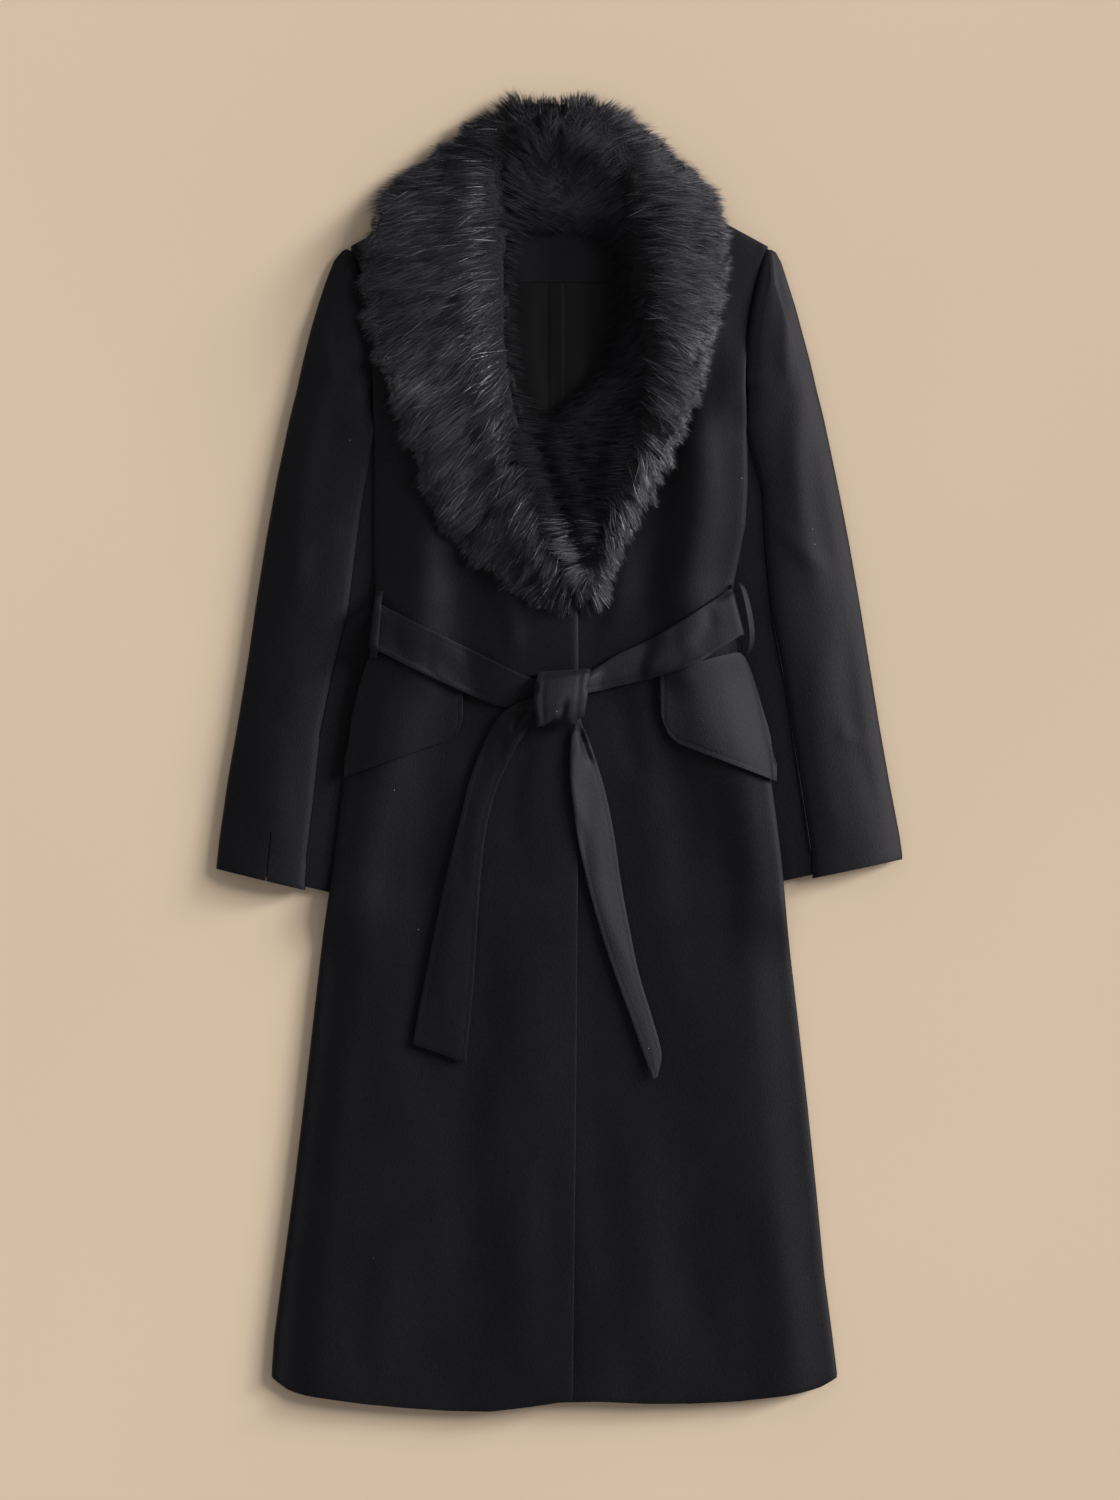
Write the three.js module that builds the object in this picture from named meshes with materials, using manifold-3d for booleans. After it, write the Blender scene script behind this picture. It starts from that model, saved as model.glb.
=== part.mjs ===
// Long belted wool coat with a shawl collar of faux fur, laid out flat on its back.
// Units are millimetres. X runs across the coat, Y from hem to collar and Z up from the surface it lies on.
// Right and left are the wearer's, so the right front is at -X. It laps over the left front.

import * as THREE from "three";
import { mergeVertices } from "three/addons/utils/BufferGeometryUtils.js";
import Module from "manifold-3d";

const wasm = await Module();
wasm.setup();

// Driving dimensions: the cloth and how its layers lie.
const CLOTH = 2.6; // wool with its lining
const BELT = 3.2; // two layers of wool, topstitched
const FLAP = 3.0;
const LINING = 1.2;
const SEAM = 0.3; // air between pieces sewn edge to edge
const LAY = 0.45; // air between a piece and what it lies on
const BODY_LOFT = 2.2; // air held between front and back
const SLEEVE_LOFT = 3.7; // air held inside a flattened sleeve
const THIN_EDGE = 1.0; // what is left of a wall at a rounded-off fold

// The body lies over the inner part of each sleeve, which is tucked behind it.
const RIDE = 10.2; // height of the back's underside over a sleeve
const RIDE_RAMP = 30;
const RIDE_FROM_Y = 400;
const RIDE_FULL_Y = 330;
const RIDE_UNTIL_Y = -150;
const RIDE_GONE_Y = -192;

// The belt's run behind the back.
const BACK_BELT = { top: 140, bottom: 94, ramp: 22 };
const BACK_BELT_LIFT = BELT + LAY;

// Where the right front laps over the left one.
const LAP = CLOTH + SEAM + 0.6;
const LAP_EDGE_X = -50; // the hidden edge of the left front
const LAP_RAMP = 18;

const NECK = { x: 87, y: 531, backDrop: 26 };
const SHOULDER_TIP_Y = 474;

function table(columns, rows) {
  return rows.map((row) => Object.fromEntries(columns.map((name, i) => [name, row[i]])));
}

// The side folds of the body, with the armhole seams above y = 330.
const SIDES = table(["y", "right", "left"], [
  [SHOULDER_TIP_Y, -198, 196],
  [440, -186, 186],
  [400, -179, 178],
  [350, -176, 174],
  [300, -175, 176],
  [220, -175, 175],
  [170, -174, 166],
  [145, -173, 161],
  [120, -174, 164],
  [95, -177, 169],
  [60, -187, 180],
  [48, -191, 183],
  [11, -197, 191],
  [-25, -203, 198],
  [-102, -212, 208],
  [-168, -222, 214],
  [-281, -235, 227],
  [-393, -248, 239],
  [-506, -263, 250],
  [-563, -270, 258],
  [-590, -271, 261],
]);

// The hem of the two fronts, from side to side.
const HEM = table(["x", "y"], [
  [-271, -587],
  [-254, -600],
  [-226, -606],
  [-164, -614],
  [-89, -619],
  [-52, -618],
  [-14, -612],
  [12, -608],
  [24, -609],
  [99, -612],
  [174, -609],
  [212, -604],
  [249, -595],
  [261, -586],
]);

// The free edges of the fronts, from the neck down under the fur to the hem.
const FRONT_EDGES = table(["y", "right", "left"], [
  [531, -86, 88],
  [510, -72, 74],
  [490, -60, 62],
  [460, -50, 54],
  [430, -48, 54],
  [400, -47, 52],
  [365, -45, 46],
  [340, -41, 32],
  [318, -35, 0],
  [300, -31, -32],
  [265, -18, -42],
  [232, -6, -46],
  [203, 4, -48],
  [170, 13, LAP_EDGE_X],
  [140, 17, LAP_EDGE_X],
  [-215, 16, LAP_EDGE_X],
  [-600, 12, LAP_EDGE_X],
]);

// Soft ridges in the fronts: each runs from one point to another and fades at both ends.
const FOLDS = table(["x0", "y0", "x1", "y1", "height", "halfWidth"], [
  [130, 335, 114, 142, 6.5, 15],
  [62, 190, 50, 112, 2.5, 13],
  [-129, 240, -117, 142, 4.5, 16],
  [-160, 250, -160, 150, 2.0, 11],
  [-88, -10, -116, -150, 4.5, 11],
  [78, 0, 102, -150, 3.0, 18],
  [132, -140, 146, -470, 2.6, 20],
  [-152, -120, -172, -420, 2.4, 22],
  [-112, -300, -116, -560, 2.0, 20],
  [80, -370, 88, -560, 2.4, 16],
  [176, 60, 186, -80, 2.2, 12],
]);

// Each sleeve from shoulder to cuff: its outer fold, and how far its inner edge is tucked under the body.
const SLEEVE_COLUMNS = ["outX", "outY", "inY", "tuck", "seamIn"];
const SLEEVES = {
  right: table(SLEEVE_COLUMNS, [
    [-203, 472, 471, -0.5, 0],
    [-212, 461, 455, -0.5, 0],
    [-220, 441, 434, -0.5, 0],
    [-227, 420, 411, -0.5, 0],
    [-234, 396, 386, -0.5, 0],
    [-241, 368, 359, -0.5, 0],
    [-247, 340, 330, 10, 8],
    [-254, 312, 296, 38, 36],
    [-266, 255, 233, 52, 62],
    [-276, 199, 175, 50, 69],
    [-285, 142, 117, 45, 71],
    [-293, 86, 60, 38, 66],
    [-302, 30, 3, 34, 62],
    [-312, -27, -54, 27, 53],
    [-320, -83, -111, 18, 44],
    [-323, -110, -139, 15, 38],
  ]),
  left: table(SLEEVE_COLUMNS, [
    [201, 472, 471, -0.5, 0],
    [208, 459, 453, -0.5, 0],
    [214, 440, 433, -0.5, 0],
    [221, 418, 409, -0.5, 0],
    [228, 392, 383, -0.5, 0],
    [235, 366, 358, -0.5, 0],
    [241, 340, 330, 10, 8],
    [248, 312, 296, 38, 36],
    [260, 255, 233, 52, 66],
    [271, 199, 175, 46, 72],
    [281, 142, 117, 40, 74],
    [290, 86, 60, 38, 68],
    [299, 30, 3, 34, 60],
    [309, -27, -54, 28, 54],
    [319, -79, -108, 18, 46],
    [322, -101, -128, 15, 42],
  ]),
};

// The slit in the right cuff, on the sleeve's upper side.
const CUFF_VENT = { x: -274, y: -101, length: 52, width: 1.2, lean: 0.12 };

// Stations of the fur collar, from the centre of the back neck round to its point.
// in and out are its two edges. crest is where it rolls, as a share of the way from in to out.
const COLLAR_COLUMNS = ["inX", "inY", "outX", "outY", "crest", "height", "floor"];
const COLLARS = {
  right: table(COLLAR_COLUMNS, [
    [-1, 494, -1, 616, 0.74, 30, 8],
    [-22, 494, -44, 611, 0.68, 34, 9],
    [-35, 491, -92, 585, 0.54, 38, 10],
    [-41, 484, -128, 556, 0.4, 40, 12],
    [-44, 470, -165, 522, 0.3, 42, 14],
    [-46, 450, -184, 484, 0.25, 43, 15],
    [-46, 424, -188, 444, 0.23, 43, 15],
    [-45, 396, -183, 403, 0.22, 42, 15],
    [-43, 363, -168, 360, 0.22, 41, 14],
    [-37, 330, -152, 312, 0.26, 40, 14],
    [-29, 298, -137, 268, 0.27, 39, 14],
    [-17, 265, -117, 222, 0.28, 37, 13],
    [-5, 232, -84, 180, 0.3, 34, 12],
    [5, 203, -48, 152, 0.35, 31, 11],
    [13, 178, -18, 136, 0.45, 28, 10],
    [19, 160, 4, 126, 0.5, 22, 9],
  ]),
  left: table(COLLAR_COLUMNS, [
    [1, 494, 1, 616, 0.74, 30, 8],
    [22, 494, 40, 611, 0.68, 33, 9],
    [36, 491, 85, 583, 0.54, 36, 10],
    [44, 484, 116, 555, 0.42, 38, 11],
    [50, 470, 147, 526, 0.36, 39, 12],
    [52, 450, 157, 490, 0.34, 40, 12],
    [52, 424, 157, 450, 0.36, 40, 12],
    [50, 396, 150, 410, 0.42, 39, 12],
    [44, 368, 141, 372, 0.5, 38, 12],
    [30, 342, 131, 336, 0.6, 37, 12],
    [-4, 316, 116, 300, 0.76, 36, 13],
    [-25, 294, 97, 262, 0.82, 35, 13],
    [-12, 262, 79, 226, 0.8, 33, 12],
    [1, 228, 62, 192, 0.76, 30, 11],
    [11, 200, 47, 160, 0.68, 26, 10],
    [25, 160, 33, 134, 0.55, 20, 9],
  ]),
};
const COLLAR_SECTIONS = 46;
const FUR_EDGE = 5; // thickness of the fur at its outer tips
const FUR_INNER_EDGE = 3;
const LOCK = { rise: 2.4, reach: 5.5 }; // how far the locks stand up and out of the pile

// The belt's stretches, by their upper and lower edges. rise is the height over what the belt lies on.
const BELT_COLUMNS = ["upX", "upY", "lowX", "lowY", "rise"];
const BELT_RUNS = {
  right: table(BELT_COLUMNS, [
    [-173, 140, -179, 97, 0],
    [-140, 123, -147, 82, 0],
    [-105, 106, -113, 66, 0],
    [-70, 89, -80, 51, 0],
    [-46, 77, -54, 42, 0],
    [-30, 69, -34, 42, 0],
    [-12, 64, -12, 44, 0],
    [4, 64, 4, 44, 0],
  ]),
  left: table(BELT_COLUMNS, [
    [161, 152, 172, 109, 0],
    [132, 134, 134, 86, 0],
    [104, 116, 104, 74, 0],
    [76, 101, 76, 66, 0],
    [54, 91, 54, 61, 0],
    [38, 81, 38, 57, 1.5],
    [24, 71, 24, 54, 4.2],
    [8, 68, 8, 52, 4.4],
  ]),
};
const BELT_TAILS = {
  right: table(BELT_COLUMNS, [
    [-10, 39, -6, 24, 4.5],
    [-24, 38, -20, 16, 4.5],
    [-40, 37, -32, 11, 4.3],
    [-58, 30, -42, 2, 3.6],
    [-72, 6, -52, -18, 0],
    [-84, -22, -61, -40, 0],
    [-93, -60, -69, -72, 0],
    [-104, -105, -74, -112, 0],
    [-114, -150, -77, -155, 0],
    [-124, -200, -80, -206, 0],
    [-132, -240, -84, -250, 0],
    [-138, -274, -88, -292, 0],
  ]),
  left: table(BELT_COLUMNS, [
    [11, 42, 20, 42, 4.5],
    [10, 26, 23, 26, 4.3],
    [9, 8, 31, 4, 0],
    [9, -24, 42, -36, 0],
    [14, -66, 51, -80, 0],
    [22, -108, 57, -122, 0],
    [33, -152, 65, -165, 0],
    [48, -200, 74, -208, 0],
    [66, -250, 86, -248, 0],
    [80, -290, 95, -282, 0],
    [86, -308, 92, -304, 0],
  ]),
};
const KNOT = { rightX: -23, leftX: 28, topY: 71, bottomY: 26, tilt: 9, clear: 9.4, crown: 3.0, wall: 4.6 };

// The pocket flaps, by rows from the seam to the lower edge, each from its outer to its inner end.
// past is how far the outer end reaches beyond the side fold.
const FLAP_COLUMNS = ["past", "outY", "inX", "inY"];
const FLAPS = {
  right: table(FLAP_COLUMNS, [
    [-0.6, 86, -91, 52],
    [-0.6, 64, -91, 43],
    [-0.6, 42, -91, 34],
    [-0.6, 19, -93, 24],
    [-0.6, -3, -98, 16],
    [-0.6, -24, -107, 10],
  ]),
  left: table(FLAP_COLUMNS, [
    [1, 86, 93, 66],
    [2, 64, 93, 53],
    [3, 42, 93.5, 40],
    [4, 18, 97, 26],
    [5, -6, 102, 15],
    [5, -28, 111, 7],
  ]),
};

// Belt loops, one at each side fold.
const LOOP = { width: 7, thickness: 1.8 };

function smooth(share) {
  const t = Math.min(Math.max(share, 0), 1);
  return t * t * (3 - 2 * t);
}

function mix(a, b, share) {
  return a + (b - a) * share;
}

// A smooth curve of one column of a table against another, held level past its ends.
function curve(rows, from, to) {
  const points = rows.map((row) => [row[from], row[to]]).sort((p, q) => p[0] - q[0]);
  const slopes = points.map((point, i) => {
    const before = points[Math.max(i - 1, 0)];
    const after = points[Math.min(i + 1, points.length - 1)];
    return (after[1] - before[1]) / (after[0] - before[0]);
  });
  return (at) => {
    const last = points.length - 1;
    if (at <= points[0][0]) return points[0][1];
    if (at >= points[last][0]) return points[last][1];
    const i = points.findIndex((point) => point[0] > at) - 1;
    const span = points[i + 1][0] - points[i][0];
    const t = (at - points[i][0]) / span;
    const s = smooth(t);
    const bend = span * (slopes[i] * t * (1 - t) ** 2 - slopes[i + 1] * t * t * (1 - t));
    return mix(points[i][1], points[i + 1][1], s) + bend;
  };
}

const side = { right: curve(SIDES, "y", "right"), left: curve(SIDES, "y", "left") };
const hem = curve(HEM, "x", "y");
const frontEdge = {
  right: curve(FRONT_EDGES, "y", "right"),
  left: curve(FRONT_EDGES, "y", "left"),
};
const tucked = {
  right: curve(SLEEVES.right, "inY", "tuck"),
  left: curve(SLEEVES.left, "inY", "tuck"),
};

// The shoulder seams rise from the tips to the neck. The back neck dips between them.
function topLine(x) {
  const out = Math.abs(x);
  if (out < NECK.x) return NECK.y - NECK.backDrop * (1 - (out / NECK.x) ** 2);
  const tip = Math.abs(side[x < 0 ? "right" : "left"](SHOULDER_TIP_Y));
  return mix(NECK.y, SHOULDER_TIP_Y, (out - NECK.x) / (tip - NECK.x));
}

// Distance in from the side fold of the body.
function inward(x, y) {
  return Math.min(x - side.right(y), side.left(y) - x);
}

// Height of the sleeve-shaped swell in the back, before the belt behind it.
function ride(x, y) {
  const hand = x < 0 ? "right" : "left";
  const past = inward(x, y) - Math.max(tucked[hand](y), 0) - 4;
  const across = 1 - smooth(past / RIDE_RAMP);
  const above = smooth((RIDE_FROM_Y - y) / (RIDE_FROM_Y - RIDE_FULL_Y));
  const below = 1 - smooth((RIDE_UNTIL_Y - y) / (RIDE_UNTIL_Y - RIDE_GONE_Y));
  return RIDE * across * above * below;
}

function backBeltLift(y) {
  const above = 1 - smooth((y - BACK_BELT.top - 3) / BACK_BELT.ramp);
  const below = 1 - smooth((BACK_BELT.bottom - 3 - y) / BACK_BELT.ramp);
  return BACK_BELT_LIFT * above * below;
}

function backUnder(x, y) {
  return ride(x, y) + backBeltLift(y);
}

function foldLift(x, y) {
  let lift = 0;
  for (const fold of FOLDS) {
    const dx = fold.x1 - fold.x0;
    const dy = fold.y1 - fold.y0;
    const length = Math.hypot(dx, dy);
    const along = ((x - fold.x0) * dx + (y - fold.y0) * dy) / length ** 2;
    const off = ((x - fold.x0) * dy - (y - fold.y0) * dx) / length / fold.halfWidth;
    const fade = smooth((along + 0.15) / 0.35) * smooth((1.15 - along) / 0.35);
    lift += fold.height * Math.exp(-off * off) * fade;
  }
  return lift;
}

// The underside of a front panel, as if the other front weren't there.
function frontUnder(x, y) {
  const loft = BODY_LOFT * smooth(inward(x, y) / 40);
  const folds = foldLift(x, y) * smooth(inward(x, y) / 24);
  return backUnder(x, y) + CLOTH + SEAM + loft + folds;
}

// How far the lap of the right front over the left one has lifted it, from 0 to 1.
function lapped(x, y) {
  const near = [-24, -12, 0, 12, 24].map((step) => frontEdge.left(y + step));
  const start = Math.max(Math.min(...near), LAP_EDGE_X) - LAP_RAMP - 8;
  return smooth((x - start) / LAP_RAMP);
}

// How much lower a wall's upper face is where it rounds off into the side fold.
function roundOff(distance) {
  return (CLOTH - THIN_EDGE) * (1 - 0.7 * smooth(distance / 3.5) - 0.3 * smooth(distance / 16));
}

// Heights of the upper faces of the pieces laid so far, on a square grid over the coat.
const MAP = { cell: 3, x0: -342, y0: -642, columns: 230, rows: 432 };
const laid = new Float32Array(MAP.columns * MAP.rows).fill(-Infinity);

function layDown(geometry) {
  const at = geometry.getAttribute("position");
  const index = geometry.getIndex();
  const corners = [new THREE.Vector3(), new THREE.Vector3(), new THREE.Vector3()];
  for (let i = 0; i < index.count; i += 3) {
    corners.forEach((corner, k) => corner.fromBufferAttribute(at, index.getX(i + k)));
    markTriangle(...corners);
  }
  return geometry;
}

function markTriangle(a, b, c) {
  const area = (b.x - a.x) * (c.y - a.y) - (c.x - a.x) * (b.y - a.y);
  if (area <= 0) return; // it faces down
  const span = (values, start) => [
    Math.ceil((Math.min(...values) - start) / MAP.cell),
    Math.floor((Math.max(...values) - start) / MAP.cell),
  ];
  const [i0, i1] = span([a.x, b.x, c.x], MAP.x0);
  const [j0, j1] = span([a.y, b.y, c.y], MAP.y0);
  for (let j = j0; j <= j1; j += 1) {
    for (let i = i0; i <= i1; i += 1) {
      const x = MAP.x0 + i * MAP.cell;
      const y = MAP.y0 + j * MAP.cell;
      const v = ((x - a.x) * (c.y - a.y) - (c.x - a.x) * (y - a.y)) / area;
      const w = ((b.x - a.x) * (y - a.y) - (x - a.x) * (b.y - a.y)) / area;
      if (v < 0 || w < 0 || v + w > 1) continue;
      const z = a.z + v * (b.z - a.z) + w * (c.z - a.z);
      const k = j * MAP.columns + i;
      laid[k] = Math.max(laid[k], z);
    }
  }
}

// The highest of the laid faces within a reach of a point, or the surface where nothing lies.
function bed(x, y, reach) {
  const span = (value, start) => [
    Math.floor((value - reach - start) / MAP.cell),
    Math.ceil((value + reach - start) / MAP.cell),
  ];
  const [i0, i1] = span(x, MAP.x0);
  const [j0, j1] = span(y, MAP.y0);
  let top = -Infinity;
  for (let j = j0; j <= j1; j += 1) {
    for (let i = i0; i <= i1; i += 1) top = Math.max(top, laid[j * MAP.columns + i]);
  }
  return Number.isFinite(top) ? top : 0;
}

// One closed wall between two grids of points, which are rows of [x, y, z] of the same size.
function wall(under, over) {
  const rows = under.length;
  const columns = under[0].length;
  const positions = [...under.flat(), ...over.flat()].flat();
  const at = (face, row, column) => (face * rows + row) * columns + column;
  const index = [];
  const quad = (a, b, c, d) => index.push(a, b, c, a, c, d);
  for (let j = 0; j < rows - 1; j += 1) {
    for (let i = 0; i < columns - 1; i += 1) {
      quad(at(0, j, i), at(0, j, i + 1), at(0, j + 1, i + 1), at(0, j + 1, i));
      quad(at(1, j, i), at(1, j + 1, i), at(1, j + 1, i + 1), at(1, j, i + 1));
    }
  }
  for (let i = 0; i < columns - 1; i += 1) {
    quad(at(0, 0, i + 1), at(0, 0, i), at(1, 0, i), at(1, 0, i + 1));
    quad(at(0, rows - 1, i), at(0, rows - 1, i + 1), at(1, rows - 1, i + 1), at(1, rows - 1, i));
  }
  for (let j = 0; j < rows - 1; j += 1) {
    quad(at(0, j, 0), at(0, j + 1, 0), at(1, j + 1, 0), at(1, j, 0));
    const i = columns - 1;
    quad(at(0, j + 1, i), at(0, j, i), at(1, j, i), at(1, j + 1, i));
  }
  const geometry = new THREE.BufferGeometry();
  geometry.setAttribute("position", new THREE.Float32BufferAttribute(positions, 3));
  geometry.setIndex(index);
  if (signedVolume(geometry) < 0) geometry.setIndex(index.reverse());
  return geometry;
}

function signedVolume(geometry) {
  const at = geometry.getAttribute("position");
  const index = geometry.getIndex();
  const [a, b, c] = [new THREE.Vector3(), new THREE.Vector3(), new THREE.Vector3()];
  let sum = 0;
  for (let i = 0; i < index.count; i += 3) {
    a.fromBufferAttribute(at, index.getX(i));
    b.fromBufferAttribute(at, index.getX(i + 1));
    c.fromBufferAttribute(at, index.getX(i + 2));
    sum += a.dot(b.cross(c)) / 6;
  }
  return sum;
}

// A band of one thickness on the outer side of a grid of points, which is its inner face.
function band(inner, thickness, outward) {
  const vector = (point) => new THREE.Vector3(...point);
  const outer = inner.map((row, j) =>
    row.map((point, i) => {
      const across = vector(row[Math.min(i + 1, row.length - 1)]).sub(vector(row[Math.max(i - 1, 0)]));
      const next = inner[Math.min(j + 1, inner.length - 1)][i];
      const along = vector(next).sub(vector(inner[Math.max(j - 1, 0)][i]));
      const normal = across.cross(along).normalize().multiplyScalar(outward * thickness);
      return vector(point).add(normal).toArray();
    }),
  );
  return wall(inner, outer);
}

// Rows of a body panel: level below the neck, following the shoulders above it and the hem at the end.
const BODY_ROWS = [
  440, 415, 398, 380, 362, 344, 328, 290, 250, 212, 178, 160, 143, 117, 91, 72, 48,
  14, -26, -66, -106, -148, -170, -194, -250, -330, -410, -490, -550, -580,
];
const SHOULDER_ROWS = 2; // rows between the shoulder seam and the first level row
const HEM_CLEAR = 2.5; // the back's hem lies this far inside the fronts'

function rowHeights(topY, hemY) {
  const above = [];
  for (let j = 0; j < SHOULDER_ROWS; j += 1) above.push(mix(topY, BODY_ROWS[0], j / SHOULDER_ROWS));
  return [...above, ...BODY_ROWS, hemY];
}

// A panel whose column i crosses the body at columnX(i, y).
function panel(columns, columnX, hemLift, under, thickness) {
  const heights = [];
  for (let i = 0; i < columns; i += 1) {
    heights.push(rowHeights(topLine(columnX(i, NECK.y)), hem(columnX(i, BODY_ROWS.at(-1))) + hemLift));
  }
  const lower = heights[0].map((_, j) =>
    heights.map((column, i) => {
      const x = columnX(i, column[j]);
      return [x, column[j], under(x, column[j])];
    }),
  );
  const upper = lower.map((row) => row.map(([x, y, z]) => [x, y, z + thickness(x, y)]));
  return wall(lower, upper);
}

function bodyThickness(x, y) {
  return CLOTH - roundOff(Math.max(inward(x, y), 0)) * smooth((SHOULDER_TIP_Y - y + 40) / 40);
}

const FROM_SIDE = [0, 3.5, 17, 33, 50, 68, 90]; // columns set out from each side fold

const BACK_COLUMNS = 2 * FROM_SIDE.length + 1;

function backColumnX(i, y) {
  if (i < FROM_SIDE.length) return side.right(y) + FROM_SIDE[i];
  if (i > FROM_SIDE.length) return side.left(y) - FROM_SIDE[BACK_COLUMNS - 1 - i];
  return 0;
}

function backPanel() {
  return panel(BACK_COLUMNS, backColumnX, HEM_CLEAR, backUnder, () => CLOTH);
}

const FRONT_INNER_COLUMNS = 6;

function frontPanel(hand) {
  const inwards = hand === "right" ? 1 : -1;
  const outer = FROM_SIDE.slice(0, -2);
  const columns = outer.length + FRONT_INNER_COLUMNS;
  const columnX = (i, y) => {
    if (i < outer.length) return side[hand](y) + inwards * outer[i];
    const start = side[hand](y) + inwards * outer.at(-1);
    return mix(start, frontEdge[hand](y), (i - outer.length + 1) / FRONT_INNER_COLUMNS);
  };
  const lift = hand === "right" ? (x, y) => LAP * lapped(x, y) : () => 0;
  return panel(columns, columnX, 0, (x, y) => frontUnder(x, y) + lift(x, y), bodyThickness);
}

// A flattened sleeve's stations: the outer and inner ends of each row, and where its seam crosses.
function sleeveRows(hand) {
  const inwards = hand === "right" ? 1 : -1;
  return SLEEVES[hand].map((row) => {
    const outer = [row.outX, row.outY];
    const inner = [side[hand](row.inY) + inwards * row.tuck, row.inY];
    const width = Math.hypot(inner[0] - outer[0], inner[1] - outer[1]);
    return { outer, inner, width, seam: 1 - Math.max(row.seamIn, 3.4) / width };
  });
}

// The inside height of a sleeve, from none at its folds to its full loft along the middle.
function sleeveLoft(share, row) {
  const full = Math.min(1, 0.25 + row.width / 120);
  return SLEEVE_LOFT * full * Math.sin(Math.PI * Math.min(Math.max(share, 0), 1)) ** 0.8;
}

function sleevePoint(row, share, z) {
  return [mix(row.outer[0], row.inner[0], share), mix(row.outer[1], row.inner[1], share), z];
}

const SLEEVE_TOP = CLOTH + SEAM; // height of the upper wall's inside at a fold
const OUTER_SHARES = [0, 0.02, 0.12, 0.3, 0.5, 0.75, 1];

// The upper piece of a sleeve, from its outer fold to the seam.
function topSleeve(hand) {
  const rows = sleeveRows(hand);
  const grid = (face) =>
    rows.map((row) =>
      OUTER_SHARES.map((part) => {
        const share = part * (row.seam - SEAM / row.width);
        const thickness = mix(THIN_EDGE, CLOTH, smooth((share * row.width) / 5));
        return sleevePoint(row, share, SLEEVE_TOP + sleeveLoft(share, row) + face * thickness);
      }),
    );
  return wall(grid(0), grid(1));
}

// The under piece of a sleeve: along the surface, round the inner fold and back to the seam.
function underSleeve(hand) {
  const rows = sleeveRows(hand);
  const flat = [0, 0.015, 0.25, 0.5, 0.75];
  const returns = [0.5, 1];
  const grid = (face) =>
    rows.map((row) => {
      const near = 1 - 2.2 / row.width;
      const below = flat.map((part) => {
        const edge = part === 0 ? THIN_EDGE : 0;
        return sleevePoint(row, part * near, face ? edge : CLOTH);
      });
      const foldIn = sleevePoint(row, face ? 1 : near, face ? 0.9 : CLOTH + 0.05);
      const fold = sleevePoint(row, face ? 1 : near, face ? CLOTH * 2 - 0.4 : CLOTH + SEAM - 0.05);
      const start = sleevePoint(row, near, face ? 0 : CLOTH);
      const above = returns.map((part) => {
        const share = mix(near, row.seam, part);
        return sleevePoint(row, share, SLEEVE_TOP + sleeveLoft(share, row) + face * CLOTH);
      });
      return [...below, start, foldIn, fold, ...above];
    });
  return wall(grid(0), grid(1));
}

// A closed mesh as a solid that can be cut, and back again.
function toSolid(geometry) {
  const merged = mergeVertices(geometry, 1e-4);
  return new wasm.Manifold(
    new wasm.Mesh({
      numProp: 3,
      vertProperties: new Float32Array(merged.getAttribute("position").array),
      triVerts: new Uint32Array(merged.getIndex().array),
    }),
  );
}

function toGeometry(solid) {
  const mesh = solid.getMesh();
  const geometry = new THREE.BufferGeometry();
  geometry.setAttribute("position", new THREE.Float32BufferAttribute(mesh.vertProperties, 3));
  geometry.setIndex([...mesh.triVerts]);
  return geometry;
}

function ventedTopSleeve() {
  const blade = new THREE.BoxGeometry(CUFF_VENT.width, CUFF_VENT.length, 20);
  blade.deleteAttribute("normal");
  blade.deleteAttribute("uv");
  blade.rotateZ(-CUFF_VENT.lean);
  blade.translate(CUFF_VENT.x, CUFF_VENT.y, 10);
  return toGeometry(toSolid(topSleeve("right")).subtract(toSolid(blade)));
}

// A column of the collar's table as a function of the share of the way round the collar.
function collarTrack(hand, column) {
  const rows = COLLARS[hand].map((row, i) => ({ at: i, value: row[column] }));
  return curve(rows, "at", "value");
}

// How far a lock of fur stands out of the pile at a section, from -1 to 1, the same on each build.
function lockAt(section, hand) {
  const shift = hand === "right" ? 0 : 2.6;
  return 0.6 * Math.sin(section * 2.4 + shift) + 0.4 * Math.sin(section * 3.9 + 1.3 + shift);
}

// Where a section's points lie: between its inner edge and its crest, then from there to its outer edge.
const INNER_SHARES = [0, 0.12, 0.35, 0.6, 0.8];
const OUTER_COLLAR_SHARES = [0, 0.16, 0.36, 0.58, 0.78, 0.92, 1];

function acrossCollar(section) {
  const inner = INNER_SHARES.map((share) => share * section.crest);
  return [...inner, ...OUTER_COLLAR_SHARES.map((share) => mix(section.crest, 1, share))];
}

// Height of the pile over its backing, at a share of the way across a section.
function pile(share, section) {
  const { crest, height, floor } = section;
  if (share >= crest) return mix(FUR_EDGE, height, ((1 - share) / (1 - crest)) ** 0.62);
  const wide = Math.min(1, 0.3 / crest);
  const ledge = mix(FUR_INNER_EDGE, floor, smooth(share / crest / 0.12));
  return mix(ledge, height, smooth((share / crest - 1 + wide) / wide) ** 0.8);
}

// The underside of the collar: on the coat where there is coat, near the surface beyond the shoulders.
function collarUnder(x, y) {
  return bed(x, y, 13) + LAY;
}

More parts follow.
